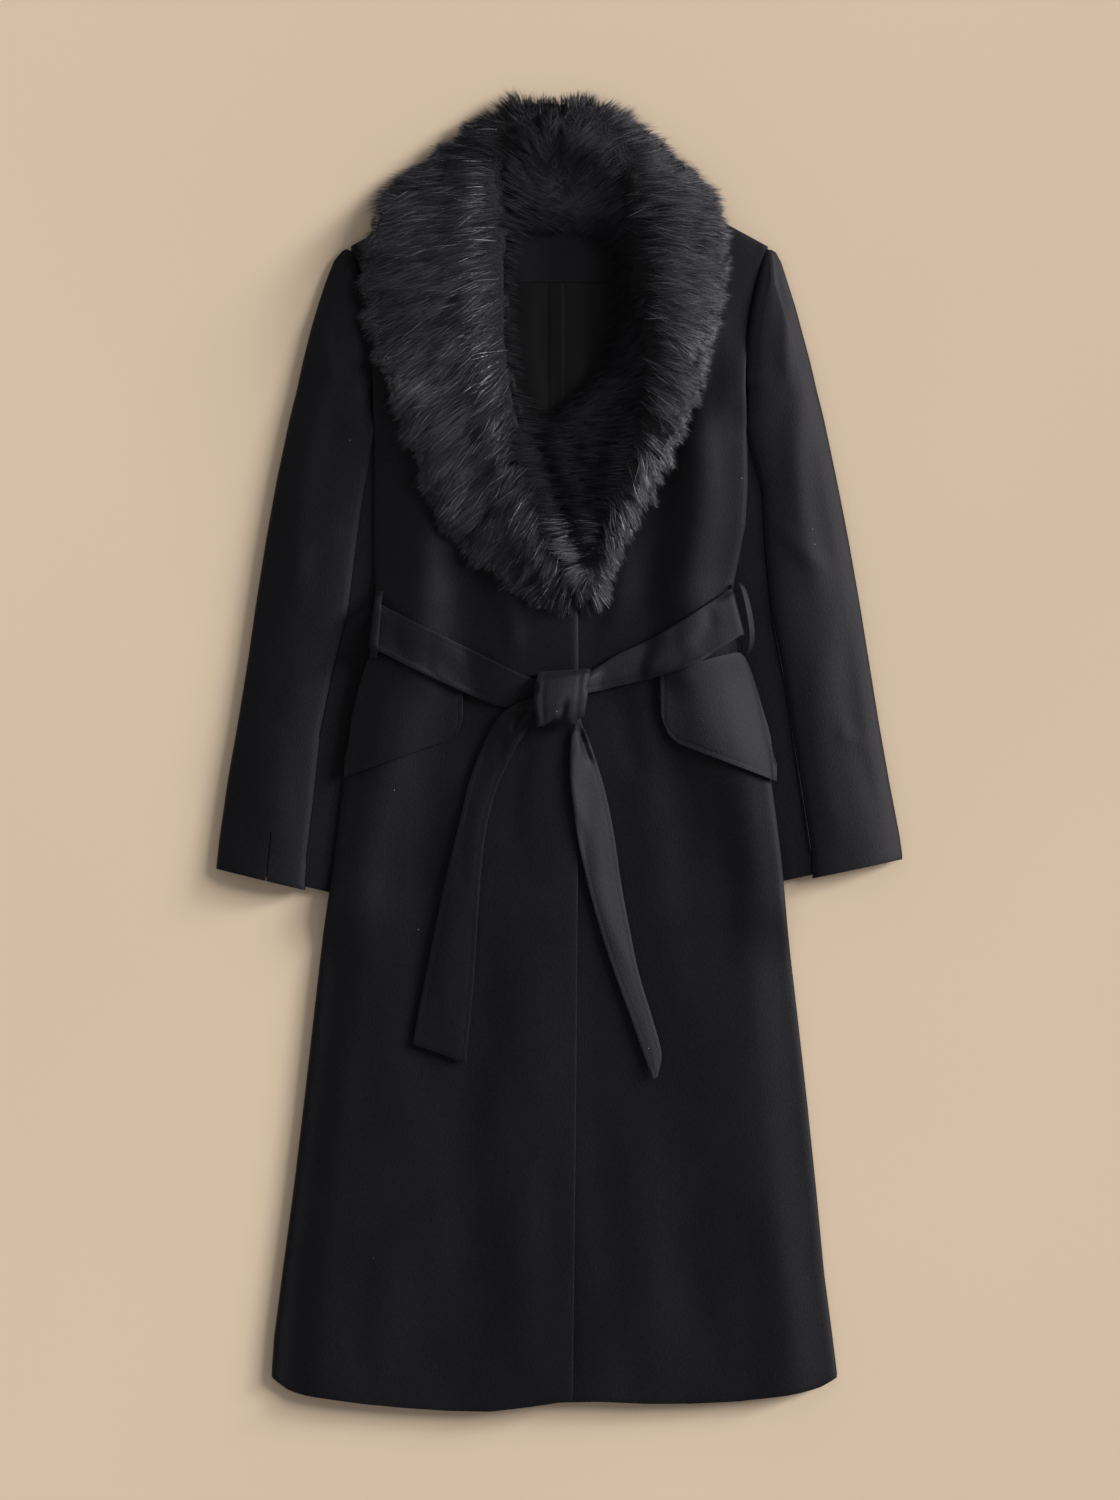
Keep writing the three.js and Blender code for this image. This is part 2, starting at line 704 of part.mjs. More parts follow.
function collar(hand) {
  const track = Object.fromEntries(COLLAR_COLUMNS.map((name) => [name, collarTrack(hand, name)]));
  const last = COLLARS[hand].length - 1;
  const lower = [];
  const upper = [];
  for (let k = 0; k <= COLLAR_SECTIONS; k += 1) {
    const at = (k / COLLAR_SECTIONS) * last;
    const section = Object.fromEntries(COLLAR_COLUMNS.map((name) => [name, track[name](at)]));
    const ends = smooth(k / 3) * smooth((COLLAR_SECTIONS - k) / 3);
    const lock = lockAt(k, hand) * ends;
    const length = Math.hypot(section.outX - section.inX, section.outY - section.inY);
    const reach = 1 + ((lock - 0.3) * LOCK.reach) / length;
    const shares = acrossCollar(section);
    const spots = shares.map((share) => {
      const far = mix(share, share * reach, smooth((share - 0.4) / 0.6));
      return [mix(section.inX, section.outX, far), mix(section.inY, section.outY, far)];
    });
    lower.push(spots.map(([x, y]) => [x, y, collarUnder(x, y)]));
    upper.push(
      spots.map(([x, y], i) => {
        const share = shares[i];
        const tuft = LOCK.rise * lock * smooth(share / 0.3) * smooth((1.1 - share) / 0.3);
        return [x, y, collarUnder(x, y) + pile(share, section) + tuft];
      }),
    );
  }
  return wall(lower, upper);
}

const ACROSS_BELT = [0, 0.33, 0.67, 1];

// Rows of points on the lower face of a stretch of belt, a share of the way between stations.
function beltRows(stations, count) {
  const track = BELT_COLUMNS.map((name) =>
    curve(stations.map((row, i) => ({ at: i, value: row[name] })), "at", "value"),
  );
  const rows = [];
  for (let k = 0; k <= count; k += 1) {
    const [upX, upY, lowX, lowY, rise] = track.map((value) => value((k / count) * (stations.length - 1)));
    rows.push(
      ACROSS_BELT.map((share) => {
        const x = mix(upX, lowX, share);
        const y = mix(upY, lowY, share);
        return [x, y, bed(x, y, 13) + LAY + rise];
      }),
    );
  }
  return rows;
}

// The front run of the belt from its side fold to the knot. It wraps round the fold to meet the back run.
function beltRun(hand) {
  const outward = hand === "right" ? -1 : 1;
  const rows = beltRows(BELT_RUNS[hand], 16);
  const turn = table(["out", "up"], [
    [0.6, 1.2],
    [0.8, 3.4],
    [0.7, 5.8],
  ]);
  const wrap = turn.map((step) =>
    rows[0].map(([, y]) => [side[hand](y) + outward * step.out, y, RIDE + step.up]),
  );
  return band([...wrap, ...rows], BELT, -outward);
}

function beltTail(hand) {
  const rows = beltRows(BELT_TAILS[hand], 22);
  return wall(rows, rows.map((row) => row.map(([x, y, z]) => [x, y, z + BELT])));
}

function backBelt() {
  const across = [BACK_BELT.top, (BACK_BELT.top + BACK_BELT.bottom) / 2, BACK_BELT.bottom];
  const rows = [];
  for (let i = 0; i < BACK_COLUMNS; i += 1) {
    rows.push(across.map((y) => [backColumnX(i, y), y, ride(backColumnX(i, y), y)]));
  }
  return wall(rows, rows.map((row) => row.map(([x, y, z]) => [x, y, z + BELT])));
}

// The knot: one turn of the belt over the crossing, down to the coat above and tucked in below.
function knot() {
  const path = table(["y", "z"], [
    [KNOT.topY, 1.2],
    [KNOT.topY + 0.6, KNOT.clear * 0.6],
    [KNOT.topY - 3, KNOT.clear],
    [mix(KNOT.topY, KNOT.bottomY, 0.3), KNOT.clear + KNOT.crown * 0.7],
    [mix(KNOT.topY, KNOT.bottomY, 0.55), KNOT.clear + KNOT.crown],
    [mix(KNOT.topY, KNOT.bottomY, 0.8), KNOT.clear + KNOT.crown * 0.6],
    [KNOT.bottomY + 2, KNOT.clear],
    [KNOT.bottomY - 1, KNOT.clear - 0.6],
  ]);
  const ground = bed(mix(KNOT.rightX, KNOT.leftX, 0.5), mix(KNOT.topY, KNOT.bottomY, 0.5), 34) + LAY;
  const across = [0, 0.2, 0.5, 0.8, 1];
  const rows = path.map((step, j) => {
    const narrow = mix(0, 4, j / (path.length - 1));
    return across.map((share) => {
      const x = mix(KNOT.rightX + narrow * 0.3, KNOT.leftX - narrow, share);
      const bulge = 1.6 * Math.sin(Math.PI * share) * Math.sin((Math.PI * j) / (path.length - 1));
      return [x, step.y + KNOT.tilt * (share - 0.5), ground + step.z + bulge];
    });
  });
  return band(rows, KNOT.wall, -1);
}

function flap(hand) {
  const outward = hand === "right" ? -1 : 1;
  const shares = [0, 0.05, 0.13, 0.22, 0.32, 0.44, 0.58, 0.72, 0.86, 0.95, 1];
  const lower = FLAPS[hand].map((row) =>
    shares.map((share) => {
      const x = mix(side[hand](row.outY) + outward * row.past, row.inX, share);
      const y = mix(row.outY, row.inY, share);
      return [x, y, bed(x, y, 10) + LAY];
    }),
  );
  return wall(lower, lower.map((row) => row.map(([x, y, z]) => [x, y, z + FLAP])));
}

// The right belt loop lies over the belt, just inside the side fold.
function flatLoop() {
  const rows = [];
  for (let k = 0; k <= 12; k += 1) {
    const y = mix(150, 88, k / 12);
    const x = side.right(y) + 2;
    rows.push([0, 1].map((edge) => [x + edge * LOOP.width, y, bed(x + 3, y, 6) + LAY]));
  }
  return wall(rows, rows.map((row) => row.map(([x, y, z]) => [x, y, z + LOOP.thickness])));
}

// The left belt loop stands out from the side fold in an arc.
function standingLoop() {
  const rows = [];
  for (let k = 0; k <= 12; k += 1) {
    const angle = (Math.PI * k) / 12;
    const y = 125 + 33 * Math.cos(angle);
    const out = Math.sin(angle) ** 0.6;
    const x = side.left(y) + 0.3 + 8.5 * out;
    const lean = 0.4 + 4 * out;
    rows.push([0, 1].map((edge) => [x + edge * lean, y, RIDE + 6 + 3 * out - edge * 5]));
  }
  return band(rows, LOOP.thickness, -1);
}

// The part of the neck facing and back lining that shows in the opening, lying on the back.
const INSIDE = { halfWidth: 62, top: 497, seam: 440, bottom: 282, liningGap: 0.3 };

function insidePiece(top, bottom, rowsCount) {
  const columns = [-1, -0.5, 0, 0.5, 1];
  const rows = [];
  for (let j = 0; j <= rowsCount; j += 1) {
    const y = mix(top, bottom, j / rowsCount);
    rows.push(columns.map((share) => [share * INSIDE.halfWidth, y, CLOTH + SEAM]));
  }
  return wall(rows, rows.map((row) => row.map(([x, y, z]) => [x, y, z + LINING])));
}

const WOOL = { color: 0x1a1a1c, roughness: 0.95, metalness: 0 };
const FUR = { color: 0x131316, roughness: 0.5, metalness: 0 };
const SATIN = { color: 0x141615, roughness: 0.45, metalness: 0 };

const wholeCoat = new THREE.Group();

// Adds a piece and marks where it lies, for the pieces laid on it later.
function add(name, geometry, finish = WOOL) {
  layDown(geometry);
  geometry.computeVertexNormals();
  const mesh = new THREE.Mesh(geometry, new THREE.MeshStandardMaterial(finish));
  mesh.name = name;
  wholeCoat.add(mesh);
}

const HANDS = ["right", "left"];

for (const hand of HANDS) add(`under_sleeve_${hand}`, underSleeve(hand));
add("top_sleeve_right", ventedTopSleeve());
add("top_sleeve_left", topSleeve("left"));
add("belt_back", backBelt());
add("back", backPanel());
add("neck_facing", insidePiece(INSIDE.top, INSIDE.seam + INSIDE.liningGap, 2));
add("back_lining", insidePiece(INSIDE.seam, INSIDE.bottom, 4), SATIN);
add("front_left", frontPanel("left"));
add("front_right", frontPanel("right"));

const collars = HANDS.map((hand) => collar(hand));
HANDS.forEach((hand, i) => add(`fur_collar_${hand}`, collars[i], FUR));
for (const hand of HANDS) add(`pocket_flap_${hand}`, flap(hand));
const runs = HANDS.map((hand) => beltRun(hand));
const tails = HANDS.map((hand) => beltTail(hand));
const turn = knot();
HANDS.forEach((hand, i) => add(`belt_run_${hand}`, runs[i]));
HANDS.forEach((hand, i) => add(`belt_tail_${hand}`, tails[i]));
add("belt_knot", turn);
add("belt_loop_right", flatLoop());
add("belt_loop_left", standingLoop());

export default wholeCoat;
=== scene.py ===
"""The looks of a long belted wool coat with a shawl collar of faux fur, laid out flat on its back.

Lengths are metres in the part's own frame: +Y runs from the hem to the collar and +Z up off the surface
that the coat lies on. The short tables of a shape are in millimetres. Right and left are the wearer's, so
the right front is at -X, and it laps over the left one.
"""

import logging
import math
from dataclasses import dataclass, field
from enum import Enum

import bmesh
import bpy
import numpy as np
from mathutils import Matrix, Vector
from mathutils.bvhtree import BVHTree
from mathutils.kdtree import KDTree

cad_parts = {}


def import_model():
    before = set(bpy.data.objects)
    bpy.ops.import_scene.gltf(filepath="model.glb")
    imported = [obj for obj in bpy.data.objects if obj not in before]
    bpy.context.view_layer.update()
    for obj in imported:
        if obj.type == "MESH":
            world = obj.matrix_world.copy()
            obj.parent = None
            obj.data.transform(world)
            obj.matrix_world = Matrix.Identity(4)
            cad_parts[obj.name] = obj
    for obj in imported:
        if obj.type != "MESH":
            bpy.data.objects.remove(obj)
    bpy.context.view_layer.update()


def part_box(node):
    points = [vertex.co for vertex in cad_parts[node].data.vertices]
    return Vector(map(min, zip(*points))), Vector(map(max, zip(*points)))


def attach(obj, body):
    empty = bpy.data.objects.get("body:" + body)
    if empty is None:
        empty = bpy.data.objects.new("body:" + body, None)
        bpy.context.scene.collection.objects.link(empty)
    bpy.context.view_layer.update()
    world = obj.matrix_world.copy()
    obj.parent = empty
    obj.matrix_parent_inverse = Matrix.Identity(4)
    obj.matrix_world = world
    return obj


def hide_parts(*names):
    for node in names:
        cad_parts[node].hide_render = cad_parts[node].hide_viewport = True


log = logging.getLogger("coat")

MM = 0.001
TINY = 1e-9
ABOVE_ALL = 0.3
MERGE_WITHIN = 1e-5
COAT_CLOTH = 2.6 * MM
BELT_CLOTH = 3.2 * MM
BELT_EDGE = 1.1 * MM
PHOTO_WIDTH = 1120
MM_PER_PIXEL = 0.94

Array = np.ndarray
Pair = tuple[float, float]
Triple = tuple[float, float, float]
Station = tuple[float, float, float, float]
Socket = bpy.types.NodeSocket


class Hand(Enum):
    """The wearer's hand. The coat lies face up, so the right one is at -X."""

    RIGHT = "right"
    LEFT = "left"

    @property
    def outward(self) -> float:
        """The sign of X that points away from the middle of the coat."""
        return -1.0 if self is Hand.RIGHT else 1.0


class Facing(Enum):
    """Which faces of a solid are looked at."""

    UP = 1.0
    DOWN = -1.0


class Slot(Enum):
    """The record's material slots."""

    WOOL = "wool"
    LINING = "lining"
    FUR = "fur"


def smooth(share: Array | float) -> Array:
    """A soft step from 0 to 1.

    Args:
        share: Where along the step, with anything below 0 or above 1 held level.

    Returns:
        The height of the step there.
    """
    t = np.clip(share, 0.0, 1.0)
    return t * t * (3 - 2 * t)


def mix(start: Array | float, end: Array | float, share: Array | float) -> Array:
    """The value a share of the way from start to end."""
    return start + (end - start) * share


def hump(at: Array, middle: float, reach: float) -> Array:
    """A rounded hump, 1 high in the middle and fallen to about a third at its reach."""
    return np.exp(-(((at - middle) / reach) ** 2))


def drop(inward: Array, width: float) -> Array:
    """How a rounded edge falls away: 1 at the edge, and 0 at a width in from it."""
    return np.clip(1 - inward / width, 0, 1) ** 2


def unit(vectors: Array) -> Array:
    """The vectors made 1 long."""
    return vectors / np.maximum(np.linalg.norm(vectors, axis=-1, keepdims=True), TINY)


def beside(values: Array) -> list[Array]:
    """The neighbours of each point of a grid, from below, above, the left and the right."""
    wide = np.pad(values, 1, mode="edge")
    return [wide[:-2, 1:-1], wide[2:, 1:-1], wide[1:-1, :-2], wide[1:-1, 2:]]


def soften(heights: Array, passes: int) -> Array:
    """Evens out a grid of heights with its neighbours, holding the edges' own line.

    Args:
        heights: Rows of heights.
        passes: How many times each height is averaged with those beside it.

    Returns:
        The softened heights.
    """
    for _ in range(passes):
        for axis in (0, 1):
            pad = [(1, 1) if k == axis else (0, 0) for k in (0, 1)]
            wide = np.pad(heights, pad, mode="edge")
            before = np.take(wide, range(0, wide.shape[axis] - 2), axis)
            after = np.take(wide, range(2, wide.shape[axis]), axis)
            heights = 0.5 * heights + 0.25 * (before + after)
    return heights


def through(stations: Array, count: int) -> Array:
    """Rows on a smooth run through the rows of a table.

    Args:
        stations: The table, one row a station.
        count: How many rows to give back.

    Returns:
        The rows, evenly spaced by station.
    """
    slopes = np.gradient(stations, axis=0)
    at = np.linspace(0, len(stations) - 1, count)
    first = np.minimum(at.astype(int), len(stations) - 2)
    t = (at - first)[:, None]
    bend = slopes[first] * t * (1 - t) ** 2 - slopes[first + 1] * t**2 * (1 - t)
    return mix(stations[first], stations[first + 1], smooth(t)) + bend


def lengths_along(points: Array) -> Array:
    """How far along a line each of its points lies."""
    steps = np.linalg.norm(np.diff(points, axis=0), axis=1)
    return np.concatenate([[0.0], np.cumsum(steps)])


class Solid:
    """A node of the frame, as a shape to measure and to lie on."""

    def __init__(
        self, node: str, facing: Facing = Facing.UP, from_z: float = -1.0, to_z: float = 1.0
    ) -> None:
        """Reads the node's faces that look one way between two heights.

        Args:
            node: The node's name.
            facing: Which way the faces look.
            from_z: The lowest face centre that counts.
            to_z: The highest face centre that counts.
        """
        mesh = bpy.data.objects[node].data
        mesh.calc_loop_triangles()
        corners = np.array([v.co for v in mesh.vertices])
        triangles = np.array([t.vertices for t in mesh.loop_triangles])
        normals = np.array([t.normal for t in mesh.loop_triangles])
        middle = corners[triangles].mean(axis=1)[:, 2]
        kept = (normals[:, 2] * facing.value > 0.2) & (middle >= from_z) & (middle <= to_z)
        self.triangles = corners[triangles[kept]]
        self.facing = facing
        faces = np.arange(kept.sum() * 3).reshape(-1, 3)
        self.tree = BVHTree.FromPolygons(self.triangles.reshape(-1, 3).tolist(), faces.tolist())
        self.low = self.triangles.min(axis=(0, 1))
        self.high = self.triangles.max(axis=(0, 1))

    def reach(self, axis: int, step: float = 0.003) -> tuple[Array, Array, Array]:
        """The least and most of the plan's other coordinate at levels along an axis.

        Args:
            axis: 0 to step along X and measure Y, or 1 to step along Y and measure X.
            step: The distance between levels.

        Returns:
            The levels, and the least and the most at each.
        """
        sides = self.triangles[:, [[0, 1], [1, 2], [2, 0]], :2].reshape(-1, 2, 2)
        start, end = sides[:, 0], sides[:, 1]
        levels = np.arange(self.low[axis] + 1e-5, self.high[axis], step)
        least, most = [], []
        for level in levels:
            crossed = (start[:, axis] - level) * (end[:, axis] - level) <= 0
            a, b = start[crossed], end[crossed]
            span = b[:, axis] - a[:, axis]
            span = np.where(np.abs(span) < TINY, TINY, span)
            share = np.clip((level - a[:, axis]) / span, 0, 1)
            found = mix(a[:, 1 - axis], b[:, 1 - axis], share)
            least.append(found.min())
            most.append(found.max())
        return levels, np.array(least), np.array(most)

    def heights(self, x: Array, y: Array) -> Array:
        """The height of the faces over or under each point of the plan, or of the nearest beside it."""
        start_z = ABOVE_ALL * self.facing.value
        ray = Vector((0, 0, -self.facing.value))
        found = np.empty(x.size)
        for k, (px, py) in enumerate(zip(x.ravel(), y.ravel())):
            place = self.tree.ray_cast(Vector((px, py, start_z)), ray)[0]
            if place is None:
                place = self.tree.find_nearest(Vector((px, py, 0.01)))[0]
            found[k] = place.z
        return found.reshape(x.shape)


class Bed:
    """What has been laid out so far, which later pieces lie on."""

    def __init__(self) -> None:
        """Starts with nothing but the surface at height 0."""
        self.trees: list[BVHTree] = []

    def lay(self, points: Array) -> None:
        """Adds a piece by the grid of points of its upper face."""
        rows, columns = points.shape[:2]
        corner = np.arange(rows * columns).reshape(rows, columns)
        faces = np.stack([corner[:-1, :-1], corner[:-1, 1:], corner[1:, 1:], corner[1:, :-1]], axis=-1)
        tree = BVHTree.FromPolygons(points.reshape(-1, 3).tolist(), faces.reshape(-1, 4).tolist())
        self.trees.append(tree)

    def heights(self, x: Array, y: Array, reach: float) -> Array:
        """The highest of the laid pieces within a reach of each point of the plan."""
        around = [(0, 0), (reach, 0), (-reach, 0), (0, reach), (0, -reach)]
        down = Vector((0, 0, -1))
        found = np.zeros(x.size)
        for k, (px, py) in enumerate(zip(x.ravel(), y.ravel())):
            for dx, dy in around:
                start = Vector((px + dx, py + dy, ABOVE_ALL))
                for tree in self.trees:
                    place = tree.ray_cast(start, down)[0]
                    if place is not None:
                        found[k] = max(found[k], place.z)
        return found.reshape(x.shape)


@dataclass(frozen=True)
class Crease:
    """A soft ridge or trough in cloth, in millimetres. It fades out at both ends."""

    start: Pair
    end: Pair
    rise: float
    half_width: float

    def lift(self, x: Array, y: Array) -> Array:
        """How far the crease lifts the cloth at each point.

        Args:
            x: The points' X in metres.
            y: The points' Y in metres.

        Returns:
            The lift in metres.
        """
        across = np.array([self.end[0] - self.start[0], self.end[1] - self.start[1]]) * MM
        length = np.hypot(*across)
        from_x, from_y = x - self.start[0] * MM, y - self.start[1] * MM
        along = (from_x * across[0] + from_y * across[1]) / length**2
        off = (from_x * across[1] - from_y * across[0]) / length
        bow = 0.06 * length * np.sin(math.pi * np.clip(along, 0, 1))
        fade = smooth((along + 0.2) / 0.4) * smooth((1.2 - along) / 0.4)
        return self.rise * MM * hump(off, bow, self.half_width * MM) * fade


class Nodes:
    """A new material's node tree, with short ways to add and join nodes."""

    def __init__(self, name: str) -> None:
        """Makes a material that holds a shader and an output alone."""
        self.material = bpy.data.materials.new(name)
        self.material.use_nodes = True
        self.tree = self.material.node_tree
        self.shader = self.tree.nodes["Principled BSDF"]
        self.place = self.tree.nodes.new("ShaderNodeTexCoord").outputs["Object"]

    def put(self, socket: Socket, value: object) -> None:
        """Joins another node's output to a socket, or sets the socket's value."""
        if isinstance(value, Socket):
            self.tree.links.new(value, socket)
        else:
            socket.default_value = value

    def add(self, kind: str, **inputs: object) -> bpy.types.Node:
        """Adds a node.

        Args:
            kind: The node's type.
            **inputs: Sockets by name with underscores for spaces, each a value or another node's output.
                A name that is no socket is a property of the node.

        Returns:
            The node.
        """
        node = self.tree.nodes.new(kind)
        for key, value in inputs.items():
            if not isinstance(value, Socket) and hasattr(node, key):
                setattr(node, key, value)
        for key, value in inputs.items():
            socket = node.inputs.get(key.replace("_", " "))
            if socket is None:
                continue
            if isinstance(value, Socket) or not hasattr(node, key):
                self.put(socket, value)
        return node

    def maths(self, operation: str, first: object, second: object = 0.0) -> Socket:
        """Adds a Math node and gives its result."""
        node = self.tree.nodes.new("ShaderNodeMath")
        node.operation = operation
        for socket, value in zip(node.inputs, (first, second)):
            self.put(socket, value)
        return node.outputs[0]

    def weigh(self, first: Socket, second: Socket, share: float) -> Socket:
        """Adds two patterns, with a share of the first and the rest of the second."""
        shared = self.maths("MULTIPLY", first, share)
        return self.maths("ADD", shared, self.maths("MULTIPLY", second, 1 - share))

    def noise(self, scale: float, detail: float, stretch: Triple = (1, 1, 1)) -> Socket:
        """Adds a noise pattern in the part's own place, and gives its strength."""
        mapped = self.add("ShaderNodeMapping", Vector=self.place, Scale=stretch).outputs[0]
        return self.add("ShaderNodeTexNoise", Vector=mapped, Scale=scale, Detail=detail).outputs[0]

    def ramp(self, factor: Socket, stops: list[tuple[float, Triple]]) -> Socket:
        """Adds a colour ramp with the given stops, and gives its colour."""
        node = self.tree.nodes.new("ShaderNodeValToRGB")
        self.put(node.inputs[0], factor)
        while len(node.color_ramp.elements) < len(stops):
            node.color_ramp.elements.new(0.5)
        for element, (position, colour) in zip(node.color_ramp.elements, stops):
            element.position = position
            element.color = (*colour, 1)
        return node.outputs[0]

    def blend(self, factor: object, first: object, second: object) -> Socket:
        """Adds a colour mix and gives its colour."""
        node = self.tree.nodes.new("ShaderNodeMix")
        node.data_type = "RGBA"
        sockets = (node.inputs[0], node.inputs[6], node.inputs[7])
        for socket, value in zip(sockets, (factor, first, second)):
            self.put(socket, (*value, 1) if isinstance(value, tuple) else value)
        return node.outputs[2]

    def bump(self, height: Socket, strength: float, depth: float) -> bpy.types.Node:
        """Adds a Bump node, and gives the node."""
        return self.add("ShaderNodeBump", Height=height, Strength=strength, Distance=depth)

    def set(self, **values: object) -> None:
        """Sets or joins the shader's sockets, by name with underscores for spaces."""
        for key, value in values.items():
            self.put(self.shader.inputs[key.replace("_", " ")], value)

    def tilted_for_painted_light(self, painted_light_shade_tilt: Triple) -> Socket:
        """The way the surface faces, tilted by a step to paint light and shade."""
        face = self.tree.nodes.new("ShaderNodeNewGeometry").outputs["Normal"]
        tilted = self.add("ShaderNodeVectorMath", operation="ADD")
        self.put(tilted.inputs[0], face)
        self.put(tilted.inputs[1], painted_light_shade_tilt)
        upright = self.add("ShaderNodeVectorMath", operation="NORMALIZE")
        self.put(upright.inputs[0], tilted.outputs[0])
        return upright.outputs[0]


@dataclass(frozen=True)
class Wool:
    """Brushed coating wool: a short nap that lies towards the hem, with a little lint on it."""

    name: str = "brushed_wool"
    dark: Triple = (0.0022, 0.0021, 0.0027)
    light: Triple = (0.0062, 0.0059, 0.0073)
    lint: Triple = (0.2, 0.19, 0.18)
    fibre_scale: float = 900
    fuzz_scale: float = 2400
    patch_scale: float = 26
    lint_scale: float = 46
    lint_size: float = 0.022
    lint_rarity: float = 0.8
    nap_depth: float = 0.0007
    nap_strength: float = 0.45
    roughness: float = 0.6
    sheen: float = 0.03
    sheen_roughness: float = 0.45
    sheen_tint: Triple = (0.75, 0.75, 0.85)
    gloss: float = 0.17
    gloss_tint: Triple = (0.93, 0.9, 1.0)
    # Tilts the shading normal to paint light and shade on a copy of this wool; plain wool has none.
    painted_light_shade_tilt: Triple = (0.0, 0.0, 0.0)

    def material(self) -> bpy.types.Material:
        """Makes the material from its nodes."""
        nodes = Nodes(self.name)
        fibres = nodes.noise(self.fibre_scale, 5, (1, 0.32, 1))
        fuzz = nodes.noise(self.fuzz_scale, 3)
        patches = nodes.noise(self.patch_scale, 4, (1, 0.6, 1))
        cloth = nodes.ramp(nodes.weigh(fibres, patches, 0.65), [(0.36, self.dark), (0.66, self.light)])
        specks = nodes.add("ShaderNodeTexVoronoi", Vector=nodes.place, Scale=self.lint_scale)
        near = nodes.maths("LESS_THAN", specks.outputs["Distance"], self.lint_size)
        chance = nodes.add("ShaderNodeSeparateColor", Color=specks.outputs["Color"]).outputs[0]
        few = nodes.maths("GREATER_THAN", chance, self.lint_rarity)
        nodes.set(Base_Color=nodes.blend(nodes.maths("MULTIPLY", near, few), cloth, self.lint))
        height = nodes.weigh(fibres, fuzz, 0.7)
        bump = nodes.bump(height, self.nap_strength, self.nap_depth)
        # The tilted normal paints light and shade on this copy of the wool.
        if any(self.painted_light_shade_tilt):
            nodes.put(bump.inputs["Normal"], nodes.tilted_for_painted_light(self.painted_light_shade_tilt))
        nodes.set(Normal=bump.outputs[0], Roughness=self.roughness)
        nodes.set(Sheen_Weight=self.sheen, Sheen_Roughness=self.sheen_roughness)
        nodes.set(Sheen_Tint=(*self.sheen_tint, 1))
        nodes.set(Specular_IOR_Level=self.gloss, Specular_Tint=(*self.gloss_tint, 1))
        return nodes.material


@dataclass(frozen=True)
class PaintedShadeWool(Wool):
    """The same wool on the right flap and the belt's right side, tilted a little away from the light as
    painted shade.
    """

    name: str = "wool_painted_shade"
    painted_light_shade_tilt: Triple = (-0.03, 0.0, 0.0)


@dataclass(frozen=True)
class SleevePaintedLightWool(Wool):
    """The same wool on the left sleeve, tilted towards the light as painted light."""

    name: str = "sleeve_wool_painted_light"
    painted_light_shade_tilt: Triple = (0.15, 0.12, 0.0)


@dataclass(frozen=True)
class PaintedLightWool(Wool):
    """The same wool on the knot and the belt's left run, tilted towards the light as painted light."""

    name: str = "wool_painted_light"
    painted_light_shade_tilt: Triple = (0.25, 0.12, 0.0)


@dataclass(frozen=True)
class PaintedStrongLightWool(Wool):
    """The same wool on the left flap and the belt's left end, tilted further towards the light as stronger
    painted light.
    """

    name: str = "wool_painted_strong_light"
    painted_light_shade_tilt: Triple = (0.39, 0.12, 0.0)


@dataclass(frozen=True)
class Satin:
    """Lining satin, with fine threads along its length."""

    name: str = "lining_satin"
    dark: Triple = (0.0028, 0.0029, 0.0032)
    light: Triple = (0.006, 0.0061, 0.0068)
    thread_scale: float = 1500
    cross_scale: float = 2600
    weave_depth: float = 0.0002
    roughness: float = 0.55
    gloss: float = 0.16

    def material(self) -> bpy.types.Material:
        """Makes the material from its nodes."""
        nodes = Nodes(self.name)
        threads = nodes.noise(self.thread_scale, 2, (1, 0.06, 1))
        cross = nodes.noise(self.cross_scale, 2, (0.1, 1, 1))
        weave = nodes.weigh(threads, cross, 0.7)
        nodes.set(Base_Color=nodes.ramp(weave, [(0.3, self.dark), (0.7, self.light)]))
        bump = nodes.bump(weave, 0.3, self.weave_depth)
        nodes.set(Normal=bump.outputs[0], Roughness=self.roughness, Specular_IOR_Level=self.gloss)
        return nodes.material


@dataclass(frozen=True)
class Thread:
    """Sewing thread, a little glossier than the wool it sinks into."""

    name: str = "sewing_thread"
    dark: Triple = (0.006, 0.006, 0.007)
    light: Triple = (0.014, 0.014, 0.016)
    twist_scale: float = 1800
    roughness: float = 0.65
    gloss: float = 0.25

    def material(self) -> bpy.types.Material:
        """Makes the material from its nodes."""
        nodes = Nodes(self.name)
        twist = nodes.noise(self.twist_scale, 2)
        nodes.set(Base_Color=nodes.ramp(twist, [(0.35, self.dark), (0.65, self.light)]))
        nodes.set(Roughness=self.roughness, Specular_IOR_Level=self.gloss)
        return nodes.material


@dataclass(frozen=True)
class Hair:
    """Long glossy hairs, each with its own shade in the mesh's attribute."""

    name: str = "fur_hair"
    shade: str = "shade"
    root: Triple = (0.014, 0.0136, 0.0165)
    middle: Triple = (0.05, 0.0485, 0.0575)
    tip: Triple = (0.34, 0.34, 0.36)
    streak_scale: float = 700
    roughness: float = 0.38
    gloss: float = 0.12

    def material(self) -> bpy.types.Material:
        """Makes the material from its nodes."""
        nodes = Nodes(self.name)
        shade = nodes.add("ShaderNodeAttribute", attribute_name=self.shade).outputs["Fac"]
        streaks = nodes.noise(self.streak_scale, 2)
        tinted = nodes.maths("MULTIPLY", shade, nodes.maths("ADD", streaks, 0.5))
        stops = [(0.0, self.root), (0.45, self.middle), (1.0, self.tip)]
        nodes.set(Base_Color=nodes.ramp(tinted, stops))
        nodes.set(Roughness=self.roughness, Specular_IOR_Level=self.gloss)
        return nodes.material


@dataclass(frozen=True)
class PaintedShadeHair(Hair):
    """The hairs of the collar's inner side, made darker and duller as painted shade."""

    name: str = "fur_hair_painted_shade"
    root: Triple = (0.009, 0.0088, 0.0105)
    middle: Triple = (0.02, 0.0195, 0.024)
    tip: Triple = (0.1, 0.1, 0.11)
    roughness: float = 0.6
    gloss: float = 0.04


